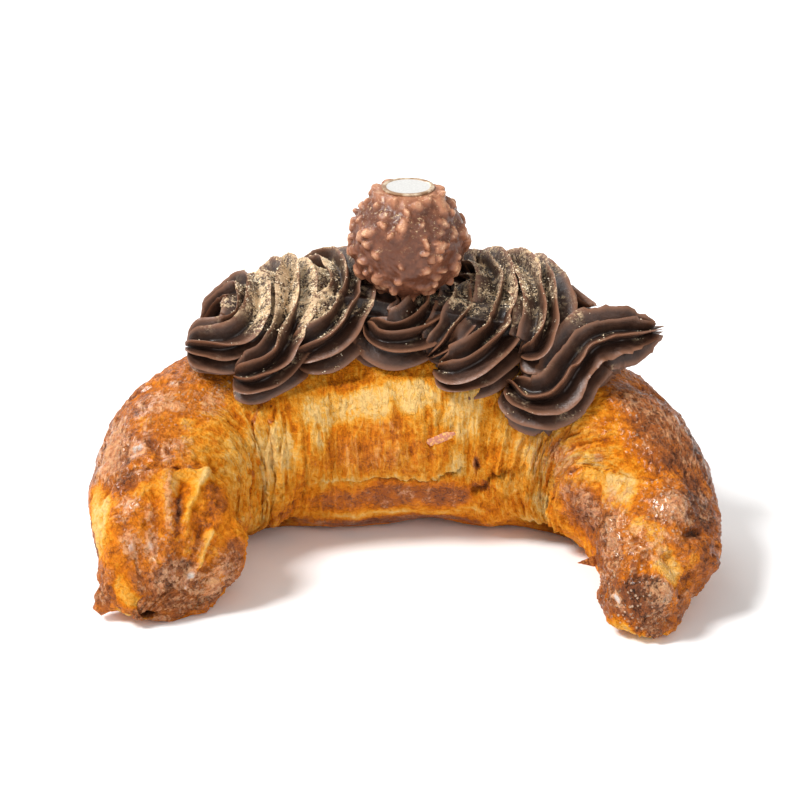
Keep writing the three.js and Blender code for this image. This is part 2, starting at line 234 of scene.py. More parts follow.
def noise(points, size, seed, octaves=1, stretch=(1, 1, 1)):
    """Smooth noise from about -1 to 1, with features of the given size in millimetres."""
    total, weight, norm = 0.0, 1.0, 0.0
    corners = [(i, j, k) for i in (0, 1) for j in (0, 1) for k in (0, 1)]
    for octave in range(octaves):
        q = points / (size * np.array(stretch, float)) + 31.7 * (octave + 1)
        cell = np.floor(q).astype(np.int64)
        f = q - cell
        w = f * f * f * (f * (f * 6 - 15) + 10)
        value = 0.0
        for corner in corners:
            c = cell + np.array(corner)
            share = 1.0
            dot = 0.0
            for axis in range(3):
                share = share * (w[..., axis] if corner[axis] else 1 - w[..., axis])
                lean = lattice(c, seed * 7 + octave * 3 + axis) * 2 - 1
                dot = dot + lean * (f[..., axis] - corner[axis])
            value = value + share * dot
        total = total + value * weight * 1.9
        norm += weight
        weight *= 0.5
        size *= 0.5
    return total / norm


# Mesh helpers.

def build(name, points, faces, flat=False):
    """A mesh object from points in millimetres."""
    mesh = bpy.data.meshes.new(name)
    mesh.from_pydata((np.asarray(points) * MM).tolist(), [], faces)
    mesh.update()
    if not flat:
        mesh.shade_smooth()
    piece = bpy.data.objects.new(name, mesh)
    bpy.context.scene.collection.objects.link(piece)
    return piece


def skin_faces(rings, sides):
    """Faces of a tube of rings closed at both ends by a fan to a last pair of points."""
    faces = []
    first, last = rings * sides, rings * sides + 1
    for i in range(rings - 1):
        a = i * sides
        for j in range(sides):
            k = (j + 1) % sides
            faces.append((a + j, a + k, a + sides + k, a + sides + j))
    for j in range(sides):
        k = (j + 1) % sides
        faces.append((first, k, j))
        faces.append((last, (rings - 1) * sides + j, (rings - 1) * sides + k))
    return faces


def set_values(piece, name, values):
    """A number or a vector for each vertex, which the materials read."""
    values = np.asarray(values, np.float32)
    kind, field = ("FLOAT", "value") if values.ndim == 1 else ("FLOAT_VECTOR", "vector")
    layer = piece.data.attributes.new(name, kind, "POINT")
    layer.data.foreach_set(field, values.ravel())


def places_of(mesh):
    """The vertices of a mesh in millimetres."""
    at = np.empty(len(mesh.vertices) * 3)
    mesh.vertices.foreach_get("co", at)
    return at.reshape(-1, 3) / MM


# Crescent.

def section_table():
    """Catmull-Rom between the sections."""
    last = len(SECTIONS) - 1
    place = np.linspace(0, last, TABLE_STEPS + 1)
    i = np.minimum(place.astype(int), last - 1)
    f = (place - i)[:, None]
    q, r = SECTIONS[i], SECTIONS[i + 1]
    p = np.where((i == 0)[:, None], 2 * q - r, SECTIONS[np.maximum(i - 1, 0)])
    s = np.where((i == last - 1)[:, None], 2 * r - q, SECTIONS[np.minimum(i + 2, last)])
    cubic = 3 * q - p - 3 * r + s
    return 0.5 * (2 * q + (r - p) * f + (2 * p - 5 * q + 4 * r - s) * f ** 2 + cubic * f ** 3)


TABLE = section_table()
ALONG = np.concatenate([[0], np.cumsum(np.hypot(*np.diff(TABLE[:, :2], axis=0).T))])
LENGTH = ALONG[-1]


def section_along(share):
    at = np.clip(share, 0, 1) * LENGTH
    return [np.interp(at, ALONG, TABLE[:, k]) for k in range(5)]


def outward_along(share):
    """The level direction out of the bend, from the centre line a little before and after."""
    near = 0.004
    a, b = section_along(share - near), section_along(share + near)
    dx, dy = b[0] - a[0], b[1] - a[1]
    size = np.hypot(dx, dy)
    return -dy / size, dx / size


def straight(share, angle):
    """The place on the straightened croissant, which noise is worked out on."""
    a = np.radians(angle)
    return np.stack([share * LENGTH, STRAIGHT_RADIUS * np.cos(a), STRAIGHT_RADIUS * np.sin(a)], -1)


def fold_edges(share, angle, ragged):
    """How far past the left and right wrap's edge a place is, as a share of the length."""
    left = LEFT_FOLD + 0.015 * bell(angle, 128, 20) + 0.014 * bell(angle, 40, 26)
    left = left - 0.012 * bell(angle, 160, 14)
    right = RIGHT_FOLD - 0.145 * smooth(95, 205, angle)
    return share - left + ragged, share - right + ragged


def relief(share, angle, ragged):
    """The large relief of the crust in millimetres."""
    front = between(40, 75, 215, 250, angle)
    past_left, past_right = fold_edges(share, angle, ragged)
    # Each wrap's edge stands over a shallow valley beside it.
    small, large = 0.008 * STEP_WIDTH, 0.01 * STEP_WIDTH
    left = 2 * between(-0.09, -0.01, -small, large, past_left)
    left = left - 1.2 * between(-0.004, 0.012, 0.02, 0.12, past_left)
    right = 1.8 * between(-large, small, 0.01, 0.09, past_right)
    right = right - 1.1 * (1 - smooth(-0.012, 0.004, past_right)) * smooth(-0.1, -0.02, past_right)
    band = 1.3 * smooth(BAND_START - small, BAND_START + small, share + ragged)
    band = band * (1 - smooth(0.6, 0.68, share))
    necks = -1.1 * bell(share, 0.215, 0.045) - 0.7 * bell(share, 0.7, 0.04)
    lip = -0.9 * smooth(LIP_ANGLE - 2 * STEP_WIDTH, LIP_ANGLE + 2 * STEP_WIDTH, angle + 300 * ragged)
    lip = lip * bell(share, 0.44, 0.17)
    knuckle = 3.2 * bell(share, 0.928, 0.022) * bell(angle, 12, 26)
    notch = -1.6 * bell(share, 0.955, 0.014) * bell(angle, 8, 22)
    flap = 3.0 * bell(share, 0.03, 0.011) * bell(signed(angle), -26, 12)
    at, a = share * LENGTH, np.radians(angle)
    uneven = (0.55 * np.sin(at / 8.1 + 2 * a + 0.7) + 0.45 * np.sin(at / 5.3 - 3 * a + 2.1)
              + 0.35 * np.sin(at / 12.7 + 5 * a + 4.4) + 0.3 * np.sin(at / 3.9 + 4 * a + 1.3))
    return front * (left + right + band + necks + lip) + knuckle + notch + flap + uneven


def crust_point(share, angle, ragged):
    """A place on the solid's skin, in millimetres."""
    x, y, inner, outer, height = section_along(share)
    ox, oy = outward_along(share)
    to_left = share * LENGTH
    to_right = LENGTH - to_left
    left = (1 - np.clip(1 - to_left / LEFT_END, 0, 1) ** LEFT_BLUNTNESS) ** (1 / LEFT_BLUNTNESS)
    right = np.sqrt(1 - np.clip(1 - to_right / RIGHT_END, 0, 1) ** 2)
    cap = left * right
    a = np.radians(angle)
    c, s = np.cos(a), np.sin(a)
    middle = WIDEST_AT * height
    half = np.where(c > 0, outer, inner)
    rise = np.where(s > 0, height - middle, middle * UNDERCUT)
    side = half * np.sign(c) * np.abs(c) ** SIDE_ROUNDING * cap
    up = rise * np.sign(s) * np.abs(s) ** TOP_ROUNDING * cap
    out = relief(share, angle, ragged) * np.minimum(1, cap * 1.4)
    size = np.hypot(side, up) + 1e-9
    side = side + out * side / size
    up = up + out * up / size
    z = np.maximum(middle * np.sqrt(cap) + up, 0)
    return np.stack([x + ox * side, y + oy * side, z], -1)


# How baked the crust is, from 0 for pale dough to 1 for dark glaze. Each row: share, angle, how far it
# reaches in share and in degrees, how baked it is there, and how much of that shows.
LEFT_HORN = [
    (0.04, 70, 0.045, 80, 0.5, 0.8), (0.083, 21, 0.044, 24, 0.1, 1.0), (0.078, 114, 0.014, 22, 0.28, 0.9),
    (0.066, 76, 0.012, 16, 0.3, 0.9), (0.062, 132, 0.017, 10, 0.66, 1.0), (0.039, 130, 0.01, 9, 0.6, 0.9),
    (0.062, 154, 0.024, 9, 0.42, 0.9), (0.04, 101, 0.016, 4, 0.66, 0.9), (0.061, 100, 0.008, 4, 0.14, 1.0),
    (0.048, 94, 0.022, 3, 0.48, 1.0), (0.015, 93, 0.008, 8, 0.62, 0.9), (0.036, 60, 0.023, 16, 0.54, 0.9),
    (0.022, 82, 0.012, 9, 0.58, 0.8), (0.01, 112, 0.005, 9, 0.28, 0.9), (0.022, 164, 0.013, 18, 0.78, 1.0),
    (0.002, 112, 0.008, 60, 0.8, 1.0), (0.004, 62, 0.006, 24, 0.72, 0.9),
    (0.006, 18, 0.007, 20, 0.24, 0.9), (0.01, 325, 0.01, 14, 0.14, 1.0), (0.03, 344, 0.012, 12, 0.74, 1.0),
    (0.012, 200, 0.02, 30, 0.76, 0.9),
]
LEFT_OUTSIDE = [
    (0.135, 46, 0.034, 22, 0.72, 1.0), (0.133, 76, 0.019, 12, 0.74, 0.9), (0.112, 68, 0.007, 6, 0.9, 0.9),
    (0.163, 87, 0.03, 16, 0.52, 0.9), (0.11, 94, 0.022, 5, 0.52, 0.8), (0.132, 118, 0.034, 17, 0.36, 0.9),
    (0.2, 88, 0.03, 18, 0.54, 0.9), (0.194, 123, 0.033, 13, 0.44, 0.9), (0.156, 106, 0.013, 5, 0.34, 0.8),
    (0.076, 74, 0.012, 12, 0.76, 0.8), (0.086, 63, 0.014, 11, 0.84, 0.8),
    (0.101, 114, 0.011, 10, 0.56, 0.8), (0.223, 84, 0.012, 9, 0.66, 0.8), (0.182, 70, 0.02, 11, 0.72, 0.8),
    (0.165, 107, 0.008, 4, 0.16, 0.9), (0.26, 92, 0.03, 8, 0.64, 0.7),
]
NECK = [
    (0.2, 136, 0.04, 10, 0.44, 0.9), (0.15, 132, 0.02, 8, 0.4, 0.9), (0.15, 150, 0.03, 12, 0.24, 0.9),
    (0.25, 135, 0.03, 8, 0.52, 0.9), (0.275, 126, 0.02, 5, 0.66, 0.8), (0.18, 152, 0.032, 14, 0.22, 0.9),
    (0.22, 167, 0.05, 20, 0.24, 0.9), (0.285, 164, 0.036, 15, 0.1, 1.0), (0.19, 192, 0.045, 14, 0.38, 0.8),
    (0.255, 200, 0.04, 10, 0.42, 0.8), (0.305, 205, 0.03, 9, 0.6, 0.8), (0.324, 153, 0.011, 7, 0.52, 1.0),
    (0.29, 143, 0.014, 6, 0.36, 0.8),
]
MIDDLE = [
    # The two rows at about 140 degrees darken the band just under the border, partly as painted shadow of
    # the ganache; the row at 226 degrees darkens the lowest edge inside the bend, partly as painted shade.
    (0.38, 152, 0.05, 9, 0.1, 1.0), (0.44, 152, 0.05, 9, 0.07, 1.0), (0.5, 149, 0.04, 9, 0.08, 1.0),
    (0.36, 166, 0.014, 7, 0.1, 0.9), (0.41, 140, 0.05, 4, 0.52, 0.8), (0.53, 139, 0.035, 4, 0.46, 0.7),
    (0.395, 173, 0.032, 8, 0.56, 1.0), (0.45, 176, 0.04, 8, 0.54, 1.0), (0.43, 168, 0.012, 6, 0.48, 0.8),
    (0.478, 161, 0.008, 11, 0.52, 1.0), (0.51, 175, 0.034, 8, 0.5, 1.0), (0.545, 171, 0.03, 5, 0.46, 0.9),
    (0.59, 172, 0.02, 4, 0.42, 0.8), (0.365, 188, 0.022, 6, 0.3, 0.8), (0.415, 189, 0.03, 4, 0.38, 0.8),
    (0.39, 203, 0.04, 9, 0.66, 1.0), (0.465, 203, 0.05, 10, 0.68, 1.0), (0.545, 201, 0.05, 9, 0.7, 1.0),
    (0.48, 216, 0.1, 3, 0.3, 0.9), (0.48, 226, 0.14, 6, 0.86, 0.8), (0.575, 156, 0.04, 13, 0.12, 1.0),
    (0.568, 181, 0.014, 6, 0.12, 0.9), (0.606, 180, 0.009, 4, 0.84, 0.9), (0.616, 193, 0.02, 4, 0.74, 0.9),
]
RIGHT_NECK = [
    (0.665, 158, 0.03, 14, 0.32, 0.9), (0.693, 166, 0.018, 9, 0.24, 0.8), (0.66, 188, 0.02, 6, 0.24, 0.8),
    (0.713, 178, 0.022, 8, 0.3, 0.8), (0.732, 198, 0.028, 9, 0.1, 1.0), (0.683, 219, 0.021, 9, 0.16, 0.9),
    (0.64, 204, 0.022, 6, 0.46, 0.7), (0.746, 172, 0.019, 8, 0.38, 0.8), (0.753, 159, 0.017, 6, 0.54, 1.0),
    (0.738, 142, 0.032, 9, 0.36, 0.8), (0.79, 154, 0.02, 9, 0.26, 0.9), (0.785, 172, 0.024, 8, 0.48, 0.9),
    (0.815, 148, 0.019, 9, 0.26, 0.9), (0.838, 122, 0.02, 15, 0.34, 0.9),
    (0.832, 129, 0.007, 5, 0.24, 0.9), (0.796, 123, 0.015, 9, 0.56, 0.8),
    (0.874, 106, 0.012, 10, 0.56, 0.8), (0.77, 186, 0.016, 6, 0.4, 0.8), (0.72, 137, 0.026, 5, 0.56, 0.9),
]
RIGHT_OUTSIDE = [
    (0.836, 54, 0.05, 26, 0.9, 1.0), (0.816, 75, 0.034, 22, 0.8, 1.0), (0.862, 88, 0.02, 12, 0.8, 0.9),
    (0.779, 80, 0.034, 24, 0.78, 1.0), (0.862, 42, 0.034, 18, 0.84, 0.9), (0.869, 72, 0.024, 15, 0.9, 1.0),
    (0.868, 36, 0.01, 6, 0.34, 0.9), (0.827, 105, 0.012, 9, 0.62, 0.8), (0.791, 62, 0.03, 16, 0.8, 0.9),
    (0.848, 96, 0.006, 7, 0.4, 0.7), (0.752, 106, 0.02, 6, 0.42, 0.8), (0.83, 90, 0.022, 12, 0.8, 0.9),
    (0.845, 106, 0.012, 7, 0.7, 0.8),
]
RIGHT_HORN = [
    (0.93, 110, 0.075, 110, 0.58, 1.0), (0.892, 128, 0.032, 28, 0.05, 1.0),
    (0.85, 150, 0.03, 14, 0.22, 0.9), (0.848, 180, 0.058, 24, 0.76, 1.0),
    (0.874, 154, 0.018, 10, 0.58, 0.8), (0.932, 162, 0.06, 34, 0.8, 1.0),
    (0.951, 84, 0.014, 14, 0.28, 0.9), (0.925, 72, 0.018, 22, 0.72, 1.0),
    (0.898, 44, 0.034, 22, 0.88, 1.0), (0.931, 39, 0.008, 8, 0.9, 1.0), (0.93, 10, 0.018, 18, 0.74, 1.0),
    (0.972, 54, 0.013, 38, 0.1, 1.0), (0.984, 108, 0.006, 30, 0.24, 0.9),
    (0.941, 108, 0.01, 12, 0.22, 0.9), (0.968, 174, 0.034, 32, 0.8, 1.0),
    (0.989, 105, 0.009, 75, 0.9, 1.0), (1.0, 180, 0.006, 400, 0.84, 1.0),
    (0.99, 250, 0.01, 62, 0.12, 1.0), (0.976, 112, 0.006, 6, 0.8, 0.9), (0.985, 24, 0.008, 22, 0.6, 0.8),
    (0.948, 24, 0.007, 9, 0.36, 0.7), (0.952, 352, 0.02, 22, 0.66, 1.0),
]
ZONES = LEFT_HORN + LEFT_OUTSIDE + NECK + MIDDLE + RIGHT_NECK + RIGHT_OUTSIDE + RIGHT_HORN

# How baked the crust is outside the zones: inside the bend, on top, on the back and on the underside.
BETWEEN_ZONES = 0.44
UNSEEN_TOP = 0.6
UNSEEN_BACK = 0.74
UNSEEN_BASE = 0.5

# Creases and ridges: height and half width in millimetres, how much darker (painted shade in the creases; a
# negative value makes a ridge paler), then places as share and angle.
FOLDS = {
    "left wrap": (-1.7, 0.7, 0.34, [
        (0.102, 26), (0.096, 50), (0.085, 68), (0.091, 79), (0.084, 91), (0.082, 100), (0.091, 116),
        (0.097, 130), (0.094, 140), (0.085, 154), (0.074, 161), (0.06, 162)]),
    "left wrap, inside": (-0.8, 0.9, 0.3, [
        (0.097, 128), (0.094, 140), (0.085, 154), (0.074, 161), (0.06, 162)]),
    "neck pleat": (-0.9, 0.6, 0.2, [(0.28, 136), (0.24, 148), (0.204, 162), (0.187, 179), (0.184, 197)]),
    "second neck pleat": (-0.8, 0.6, 0.18, [
        (0.294, 144), (0.272, 158), (0.228, 173), (0.215, 191), (0.231, 205)]),
    "third neck pleat": (-0.7, 0.5, 0.16, [(0.308, 152), (0.292, 166), (0.281, 182), (0.281, 199)]),
    "hatching": (-0.7, 0.5, 0.18, [(0.781, 146), (0.774, 156), (0.76, 164)]),
    "second hatching": (-0.7, 0.5, 0.18, [(0.798, 138), (0.795, 150), (0.785, 162)]),
    "third hatching": (-0.7, 0.5, 0.18, [(0.764, 138), (0.754, 150), (0.738, 160)]),
    "above the left wrap": (0.9, 1.2, 0.0, [(0.11, 45), (0.104, 60), (0.106, 76), (0.098, 88)]),
    "raised strip": (1.6, 1.1, -0.1, [(0.071, 95), (0.06, 95), (0.047, 94), (0.036, 95), (0.027, 96)]),
    "beside the strip": (-1.0, 0.8, 0.2, [(0.064, 104), (0.051, 102), (0.035, 102), (0.024, 100)]),
    "before the strip": (-0.9, 1.0, 0.0, [(0.068, 86), (0.05, 86), (0.032, 85), (0.014, 84)]),
    "diagonal ridge": (1.3, 0.8, -0.34, [(0.09, 122), (0.07, 117), (0.053, 112), (0.031, 106)]),
    "lower ridge": (1.2, 0.8, -0.34, [(0.027, 132), (0.017, 130), (0.007, 132)]),
    "lower crease": (-0.9, 0.7, 0.1, [(0.03, 122), (0.016, 120), (0.006, 118)]),
    "slanted crease": (-1.0, 0.6, 0.14, [(0.128, 84), (0.118, 88), (0.107, 91), (0.099, 91)]),
    "second slanted crease": (-0.8, 0.6, 0.1, [(0.128, 99), (0.116, 95), (0.104, 97)]),
    "glazed patch": (-0.7, 0.8, 0.12, [(0.052, 50), (0.04, 58), (0.03, 52), (0.018, 60), (0.008, 56)]),
    "right wrap": (-1.3, 0.6, 0.3, [(0.784, 169), (0.811, 157), (0.832, 145), (0.873, 122), (0.889, 103)]),
    "right wrap, inside": (-1.2, 0.8, 0.1, [
        (0.784, 169), (0.774, 179), (0.748, 195), (0.744, 210), (0.761, 218)]),
    "dimple": (-1.6, 1.3, 0.08, [(0.942, 46), (0.932, 40), (0.923, 34)]),
    "waist": (-1.1, 0.9, 0.2, [(0.966, 48), (0.969, 70), (0.972, 100)]),
    "furrow": (-0.9, 0.8, 0.16, [(0.925, 150), (0.945, 152), (0.965, 150)]),
    "back wrap, left": (-1.5, 0.8, 0.26, [(0.3, 72), (0.312, 44), (0.306, 16), (0.322, -14), (0.314, -42)]),
    "beside the left wrap": (1.1, 1.9, -0.06, [(0.318, 72), (0.33, 44), (0.325, 16), (0.34, -14)]),
    "back wrap, right": (-1.5, 0.8, 0.26, [
        (0.652, 72), (0.64, 46), (0.648, 18), (0.634, -12), (0.642, -42)]),
    "beside the right wrap": (1.1, 1.9, -0.06, [(0.634, 72), (0.622, 46), (0.63, 18), (0.616, -12)]),
    "back wrap, far left": (-1.3, 0.7, 0.24, [
        (0.212, 66), (0.196, 40), (0.204, 12), (0.19, -18), (0.2, -40)]),
    "back wrap, far right": (-1.3, 0.7, 0.24, [(0.748, 66), (0.762, 38), (0.752, 10), (0.766, -20)]),
}

# Painted sheen for the glaze's broad highlights, with near-white painted glints past 1: share, angle, reach
# in share and in degrees, how much.
PAINTED_SHEEN = [
    (0.048, 95, 0.028, 4, 1.2), (0.056, 62, 0.014, 13, 1.2), (0.037, 80, 0.013, 6, 1.1),
    (0.022, 57, 0.012, 14, 1.3), (0.018, 78, 0.01, 8, 1.3), (0.002, 100, 0.008, 40, 0.8),
    (0.028, 345, 0.014, 11, 0.6), (0.141, 46, 0.044, 26, 0.95), (0.125, 75, 0.014, 10, 1.5),
    (0.114, 95, 0.021, 5, 1.1), (0.143, 83, 0.022, 9, 0.9), (0.158, 106, 0.015, 5, 1.3),
    (0.189, 88, 0.032, 18, 1.1), (0.079, 79, 0.015, 11, 1.0), (0.754, 159, 0.013, 5, 1.1),
    (0.926, 134, 0.018, 20, 1.0), (0.945, 152, 0.03, 26, 1.0), (0.925, 72, 0.017, 22, 1.1),
    (0.923, 50, 0.004, 5, 1.9), (0.941, 52, 0.003, 4, 1.9), (0.986, 160, 0.006, 12, 1.7),
    (0.99, 60, 0.008, 40, 0.9), (0.88, 40, 0.024, 12, 0.9), (0.842, 170, 0.04, 14, 0.8),
    (0.817, 70, 0.04, 26, 0.6), (0.46, 163, 0.03, 4, 0.5), (0.821, 138, 0.012, 7, 0.7),
    (0.785, 92, 0.026, 14, 0.65), (0.215, 84, 0.006, 4, 1.6), (0.003, 128, 0.004, 12, 1.8),
    (0.44, 176, 0.07, 10, 0.3), (0.725, 166, 0.05, 16, 0.55), (0.215, 112, 0.034, 11, 0.8),
    (0.128, 103, 0.024, 11, 0.85), (0.766, 160, 0.042, 18, 0.75), (0.899, 130, 0.025, 22, 0.7),
    (0.962, 80, 0.018, 45, 1.0), (0.953, 112, 0.02, 26, 0.9), (0.003, 160, 0.02, 60, 0.9),
]

# Where the glaze blistered: share, angle, reach in share and in degrees, how densely.
BLISTERS = [
    (0.2, 98, 0.04, 18, 0.9), (0.24, 110, 0.03, 13, 0.9), (0.15, 92, 0.025, 14, 0.5),
    (0.925, 78, 0.035, 34, 1.0), (0.935, 146, 0.045, 34, 1.0), (0.968, 172, 0.03, 34, 1.0),
    (0.99, 120, 0.025, 150, 1.0), (0.82, 98, 0.05, 18, 0.6), (0.76, 90, 0.04, 20, 0.4),
    (0.02, 90, 0.016, 30, 0.5),
]
# Loose flakes: share, angle, length, width, turn in degrees, how far it stands up in degrees, how pale, how
# pointed.
FLAKES = [
    (0.520, 171, 7.4, 2.4, 26, 5, 1.0, 0.2), (0.893, 197, 5.6, 3.4, 60, 66, 0.25, 0.9),
]


def reach_of(row, share, angle):
    """1 in the middle of a row's zone, fading outwards."""
    at, turn, spread, degrees = row[:4]
    off = (angle - turn + 180) % 360 - 180
    return np.exp(-((share - at) / spread) ** 2 - (off / degrees) ** 2)


def away_from(line, share, angle):
    """Millimetres from a line of places, as on the straightened croissant."""
    off = (angle + 60) % 360 - 60
    x, y = share * LENGTH, FOLD_RADIUS * np.radians(off)
    nearest = 99.0
    for (s0, a0), (s1, a1) in zip(line, line[1:]):
        x0, y0 = s0 * LENGTH, FOLD_RADIUS * math.radians(a0)
        dx, dy = s1 * LENGTH - x0, FOLD_RADIUS * math.radians(a1) - y0
        t = np.clip(((x - x0) * dx + (y - y0) * dy) / (dx * dx + dy * dy), 0, 1)
        nearest = np.minimum(nearest, np.hypot(x - x0 - t * dx, y - y0 - t * dy))
    return nearest


def blisters_at(share, angle):
    total = 0.0
    for row in BLISTERS:
        total = np.maximum(total, row[4] * reach_of(row, share, angle))
    return total


def crust_grid():
    """Shares and angles of the grid: closer rings at the horns, closer sides where the crust shows most."""
    even = np.linspace(0, 1, RINGS + 2)[1:-1]
    share = even - 0.35 / TAU * np.sin(TAU * even)
    turn = np.linspace(0, 1, SIDES + 1)[:-1]
    weight = np.array([1.0, 1.15, 1.3, 1.3, 1.3, 1.3, 1.15, 0.5, 0.35, 0.35, 0.5, 0.9])
    edges = np.concatenate([[0], np.cumsum(weight)]) / weight.sum()
    angle = np.interp(turn, edges, np.arange(13) * 30.0)
    return np.meshgrid(share, angle, indexing="ij")


def grid_normals(points):
    along = np.gradient(points, axis=0)
    around = np.roll(points, -1, 1) - np.roll(points, 1, 1)
    normal = np.cross(around, along)
    normal = normal / (np.linalg.norm(normal, axis=-1, keepdims=True) + 1e-12)
    outward = (normal * (points - points.mean((0, 1)))).sum() > 0
    return normal if outward else -normal


def ridged(points, size, seed, octaves=1, stretch=(1, 1, 1)):
    """Noise with sharp crests, from about -1 to 1."""
    return 1 - 2.6 * np.abs(noise(points, size, seed, octaves, stretch))


def terraces(value, edge):
    """Three broken layers of pastry, one on another, and where their edges are."""
    height, rim = 0.0, 0.0
    for level in (-0.3, -0.02, 0.26):
        height = height + smooth(level - edge, level + edge, value)
        rim = np.maximum(rim, bell(value, level, 1.6 * edge))
    return height, rim


class Crust:
    """Everything that is worked out on the crust's grid."""

    def __init__(self):
        self.share, self.angle = crust_grid()
        self.flat = straight(self.share, self.angle)
        share, angle, flat = self.share, self.angle, self.flat
        self.ragged = 0.003 * noise(flat, 9, 3, 2) + 0.0012 * noise(flat, 1.6, 4, 2)
        self.base = crust_point(share, angle, self.ragged)
        # The left end is cut at a slant, further back on the inside of the crescent.
        slanted = 0.3 * (1 - smooth(0.0, 0.06, share)) * np.clip(self.base[..., 0] + 64, 0, 30)
        self.base[..., 1] = self.base[..., 1] + slanted
        self.normal = grid_normals(self.base)
        past_left, past_right = fold_edges(share, angle, self.ragged)
        horn = 1 - smooth(-0.002, 0.004, past_left) + smooth(-0.004, 0.002, past_right)
        self.horn = np.clip(horn, 0, 1)
        self.layers()
        self.crack_lines()
        self.bake()
        self.shape()
        self.paint_relief_light_and_shade()

    def layers(self):
        """Which way the layers run: round the section inside the bend, along the crescent outside it."""
        share, angle, flat, base = self.share, self.angle, self.flat, self.base
        ends = between(0.03, 0.07, 0.93, 0.965, share)
        self.front = between(100, 130, 215, 235, angle)
        self.under = between(228, 242, 298, 316, angle)
        self.strip = bell(share, 0.49, 0.115) * smooth(189, 194, angle + 4 * noise(flat, 5, 15, 2))
        self.across = mix(0.3, 1.0, self.front) * ends * (1 - 0.8 * self.horn) * (1 - self.strip)
        warp = np.stack([noise(base, 6, seed, 3) for seed in (12, 13, 14)], -1)
        slant = smooth(0.58, 0.84, share) * STRAIGHT_RADIUS * np.radians(np.clip(angle, 0, 200) - 110)
        self.wound = flat + np.stack([slant, 0 * share, 0 * share], -1)
        self.warped = self.wound + 1.8 * warp
        self.fibres = (0.6 * ridged(self.warped, 2.1, 21, 2, (1, 3.6, 3.6))
                       + 0.5 * noise(self.wound, 3.4, 22, 2, (1, 3, 3)))
        # Pleats in the necks on both sides of the middle band.
        left_neck = bell(share, 0.245, 0.05) * smooth(112, 135, angle)
        right_neck = bell(share, 0.72, 0.06) * smooth(118, 140, angle)
        necks = (left_neck + right_neck) * (1 - smooth(205, 225, angle))
        necks = necks + bell(share, 0.79, 0.04) * bell(angle, 152, 20)
        self.pleats = ridged(self.warped, 3.0, 25, 2, (1, 6, 6)) * np.clip(necks, 0, 1)
        # Broken layers, longer round the section at the front and longer along it at the back.
        broken = mix(noise(self.warped, 8, 31, 5, (1, 1.7, 1.7)), noise(base, 8, 32, 5), self.horn)
        self.steps, rim = terraces(broken, 0.02)
        self.rim = rim * (1 - self.strip) * (1 - 0.8 * self.under)

    def crack_lines(self):
        """The long crack inside the bend, its flaky rims, the tear and pit beside it, and the folds."""
        share, angle, flat = self.share, self.angle, self.flat
        line = 190 - 6 * smooth(0.53, 0.58, share) + 4 * noise(flat, 5, 51, 4)
        self.crack = bell(angle, line, 0.8) * between(0.4, 0.44, 0.565, 0.59, share)
        lower_rim = line + 26 + 2 * noise(flat, 4, 59, 3)
        rims = bell(angle, line - 2.2, 1.1) + 0.8 * bell(angle, lower_rim, 1.4)
        self.crack_rim = between(0.33, 0.37, 0.6, 0.64, share) * rims
        line = 198 - 16 * smooth(0.59, 0.66, share) + 5 * noise(flat, 4, 52, 3)
        self.tear = bell(angle, line, 2.0) * between(0.585, 0.6, 0.65, 0.69, share)
        self.pit = bell(share + 0.004 * noise(flat, 2, 53, 3), 0.607, 0.007)
        self.pit = self.pit * bell(angle + 3 * noise(flat, 2, 55, 3), 180, 2.8)
        inside = smooth(218, 223, angle + 3 * noise(flat, 5, 54, 2)) * (1 - smooth(236, 246, angle))
        self.hollow = (bell(share, 0.71, 0.04) + 0.8 * bell(share, 0.31, 0.03)) * inside
        self.band = bell(share + self.ragged, 0.335, 0.003) * bell(angle, 180, 26)
        # Named creases and ridges, slightly wavering and uneven in depth.
        wavering = share + 0.0022 * noise(flat, 3, 56, 3), angle + 2.2 * noise(flat, 3, 57, 3)
        self.folds, self.fold_shade_and_tone = 0.0, 0.0
        for height, half_width, darker, line in FOLDS.values():
            near = bell(away_from(line, *wavering), 0, half_width) * (1 + 0.35 * noise(flat, 4, 58, 2))
            self.folds = self.folds + height * near
            # Painted shade along the creases; ridges with a negative value are made paler.
            self.fold_shade_and_tone = self.fold_shade_and_tone + darker * np.clip(near, 0, 1)

    def bake(self):
        """How baked and how glossy each place is, and how dark the cracks, tear, pit, hollows and groove are
        painted as shade.
        """
        share, angle, base = self.share, self.angle, self.base
        s = share + 0.007 * noise(base, 9, 71, 3)
        fingers = ridged(self.warped, 2.4, 72, 2, (1, 5, 5))
        a = angle + 4 * noise(base, 8, 73, 3)
        edge = 0.24 * noise(base, 4.2, 74, 4) + 0.1 * fingers * self.across
        level = np.full(share.shape, BETWEEN_ZONES)
        level = mix(level, UNSEEN_TOP, smooth(130, 80, angle))
        level = mix(level, UNSEEN_BACK, np.clip(1 - smooth(40, 80, angle) + smooth(310, 340, angle), 0, 1))
        level = mix(level, UNSEEN_BASE, self.under)
        level = level + 0.13 * (1 - self.front) * noise(base, 15, 76, 4)
        for row in ZONES:
            shown = smooth(0.14, 0.72, reach_of(row, s, a) + edge) * row[5]
            level = mix(level, row[4], shown)
        level = level + 0.05 * noise(base, 5, 75, 3) + 0.05 * (self.steps - 1.5) - 0.06 * self.rim
        level = level + self.fold_shade_and_tone - 0.3 * self.crack_rim
        self.level = np.clip(level, 0, 1.2)
        # Painted shade in the cracks, the tear, the pit, the hollows and the groove.
        recess_shade = 0.9 * self.crack + 0.7 * self.tear + 0.5 * self.pit + self.hollow + 0.4 * self.band
        self.recess_shade = np.clip(recess_shade, 0, 1)
        gloss = smooth(0.4, 0.7, self.level) * (1 - 0.8 * self.under) * (1 - self.recess_shade)
        self.gloss = np.clip(gloss, 0, 1)

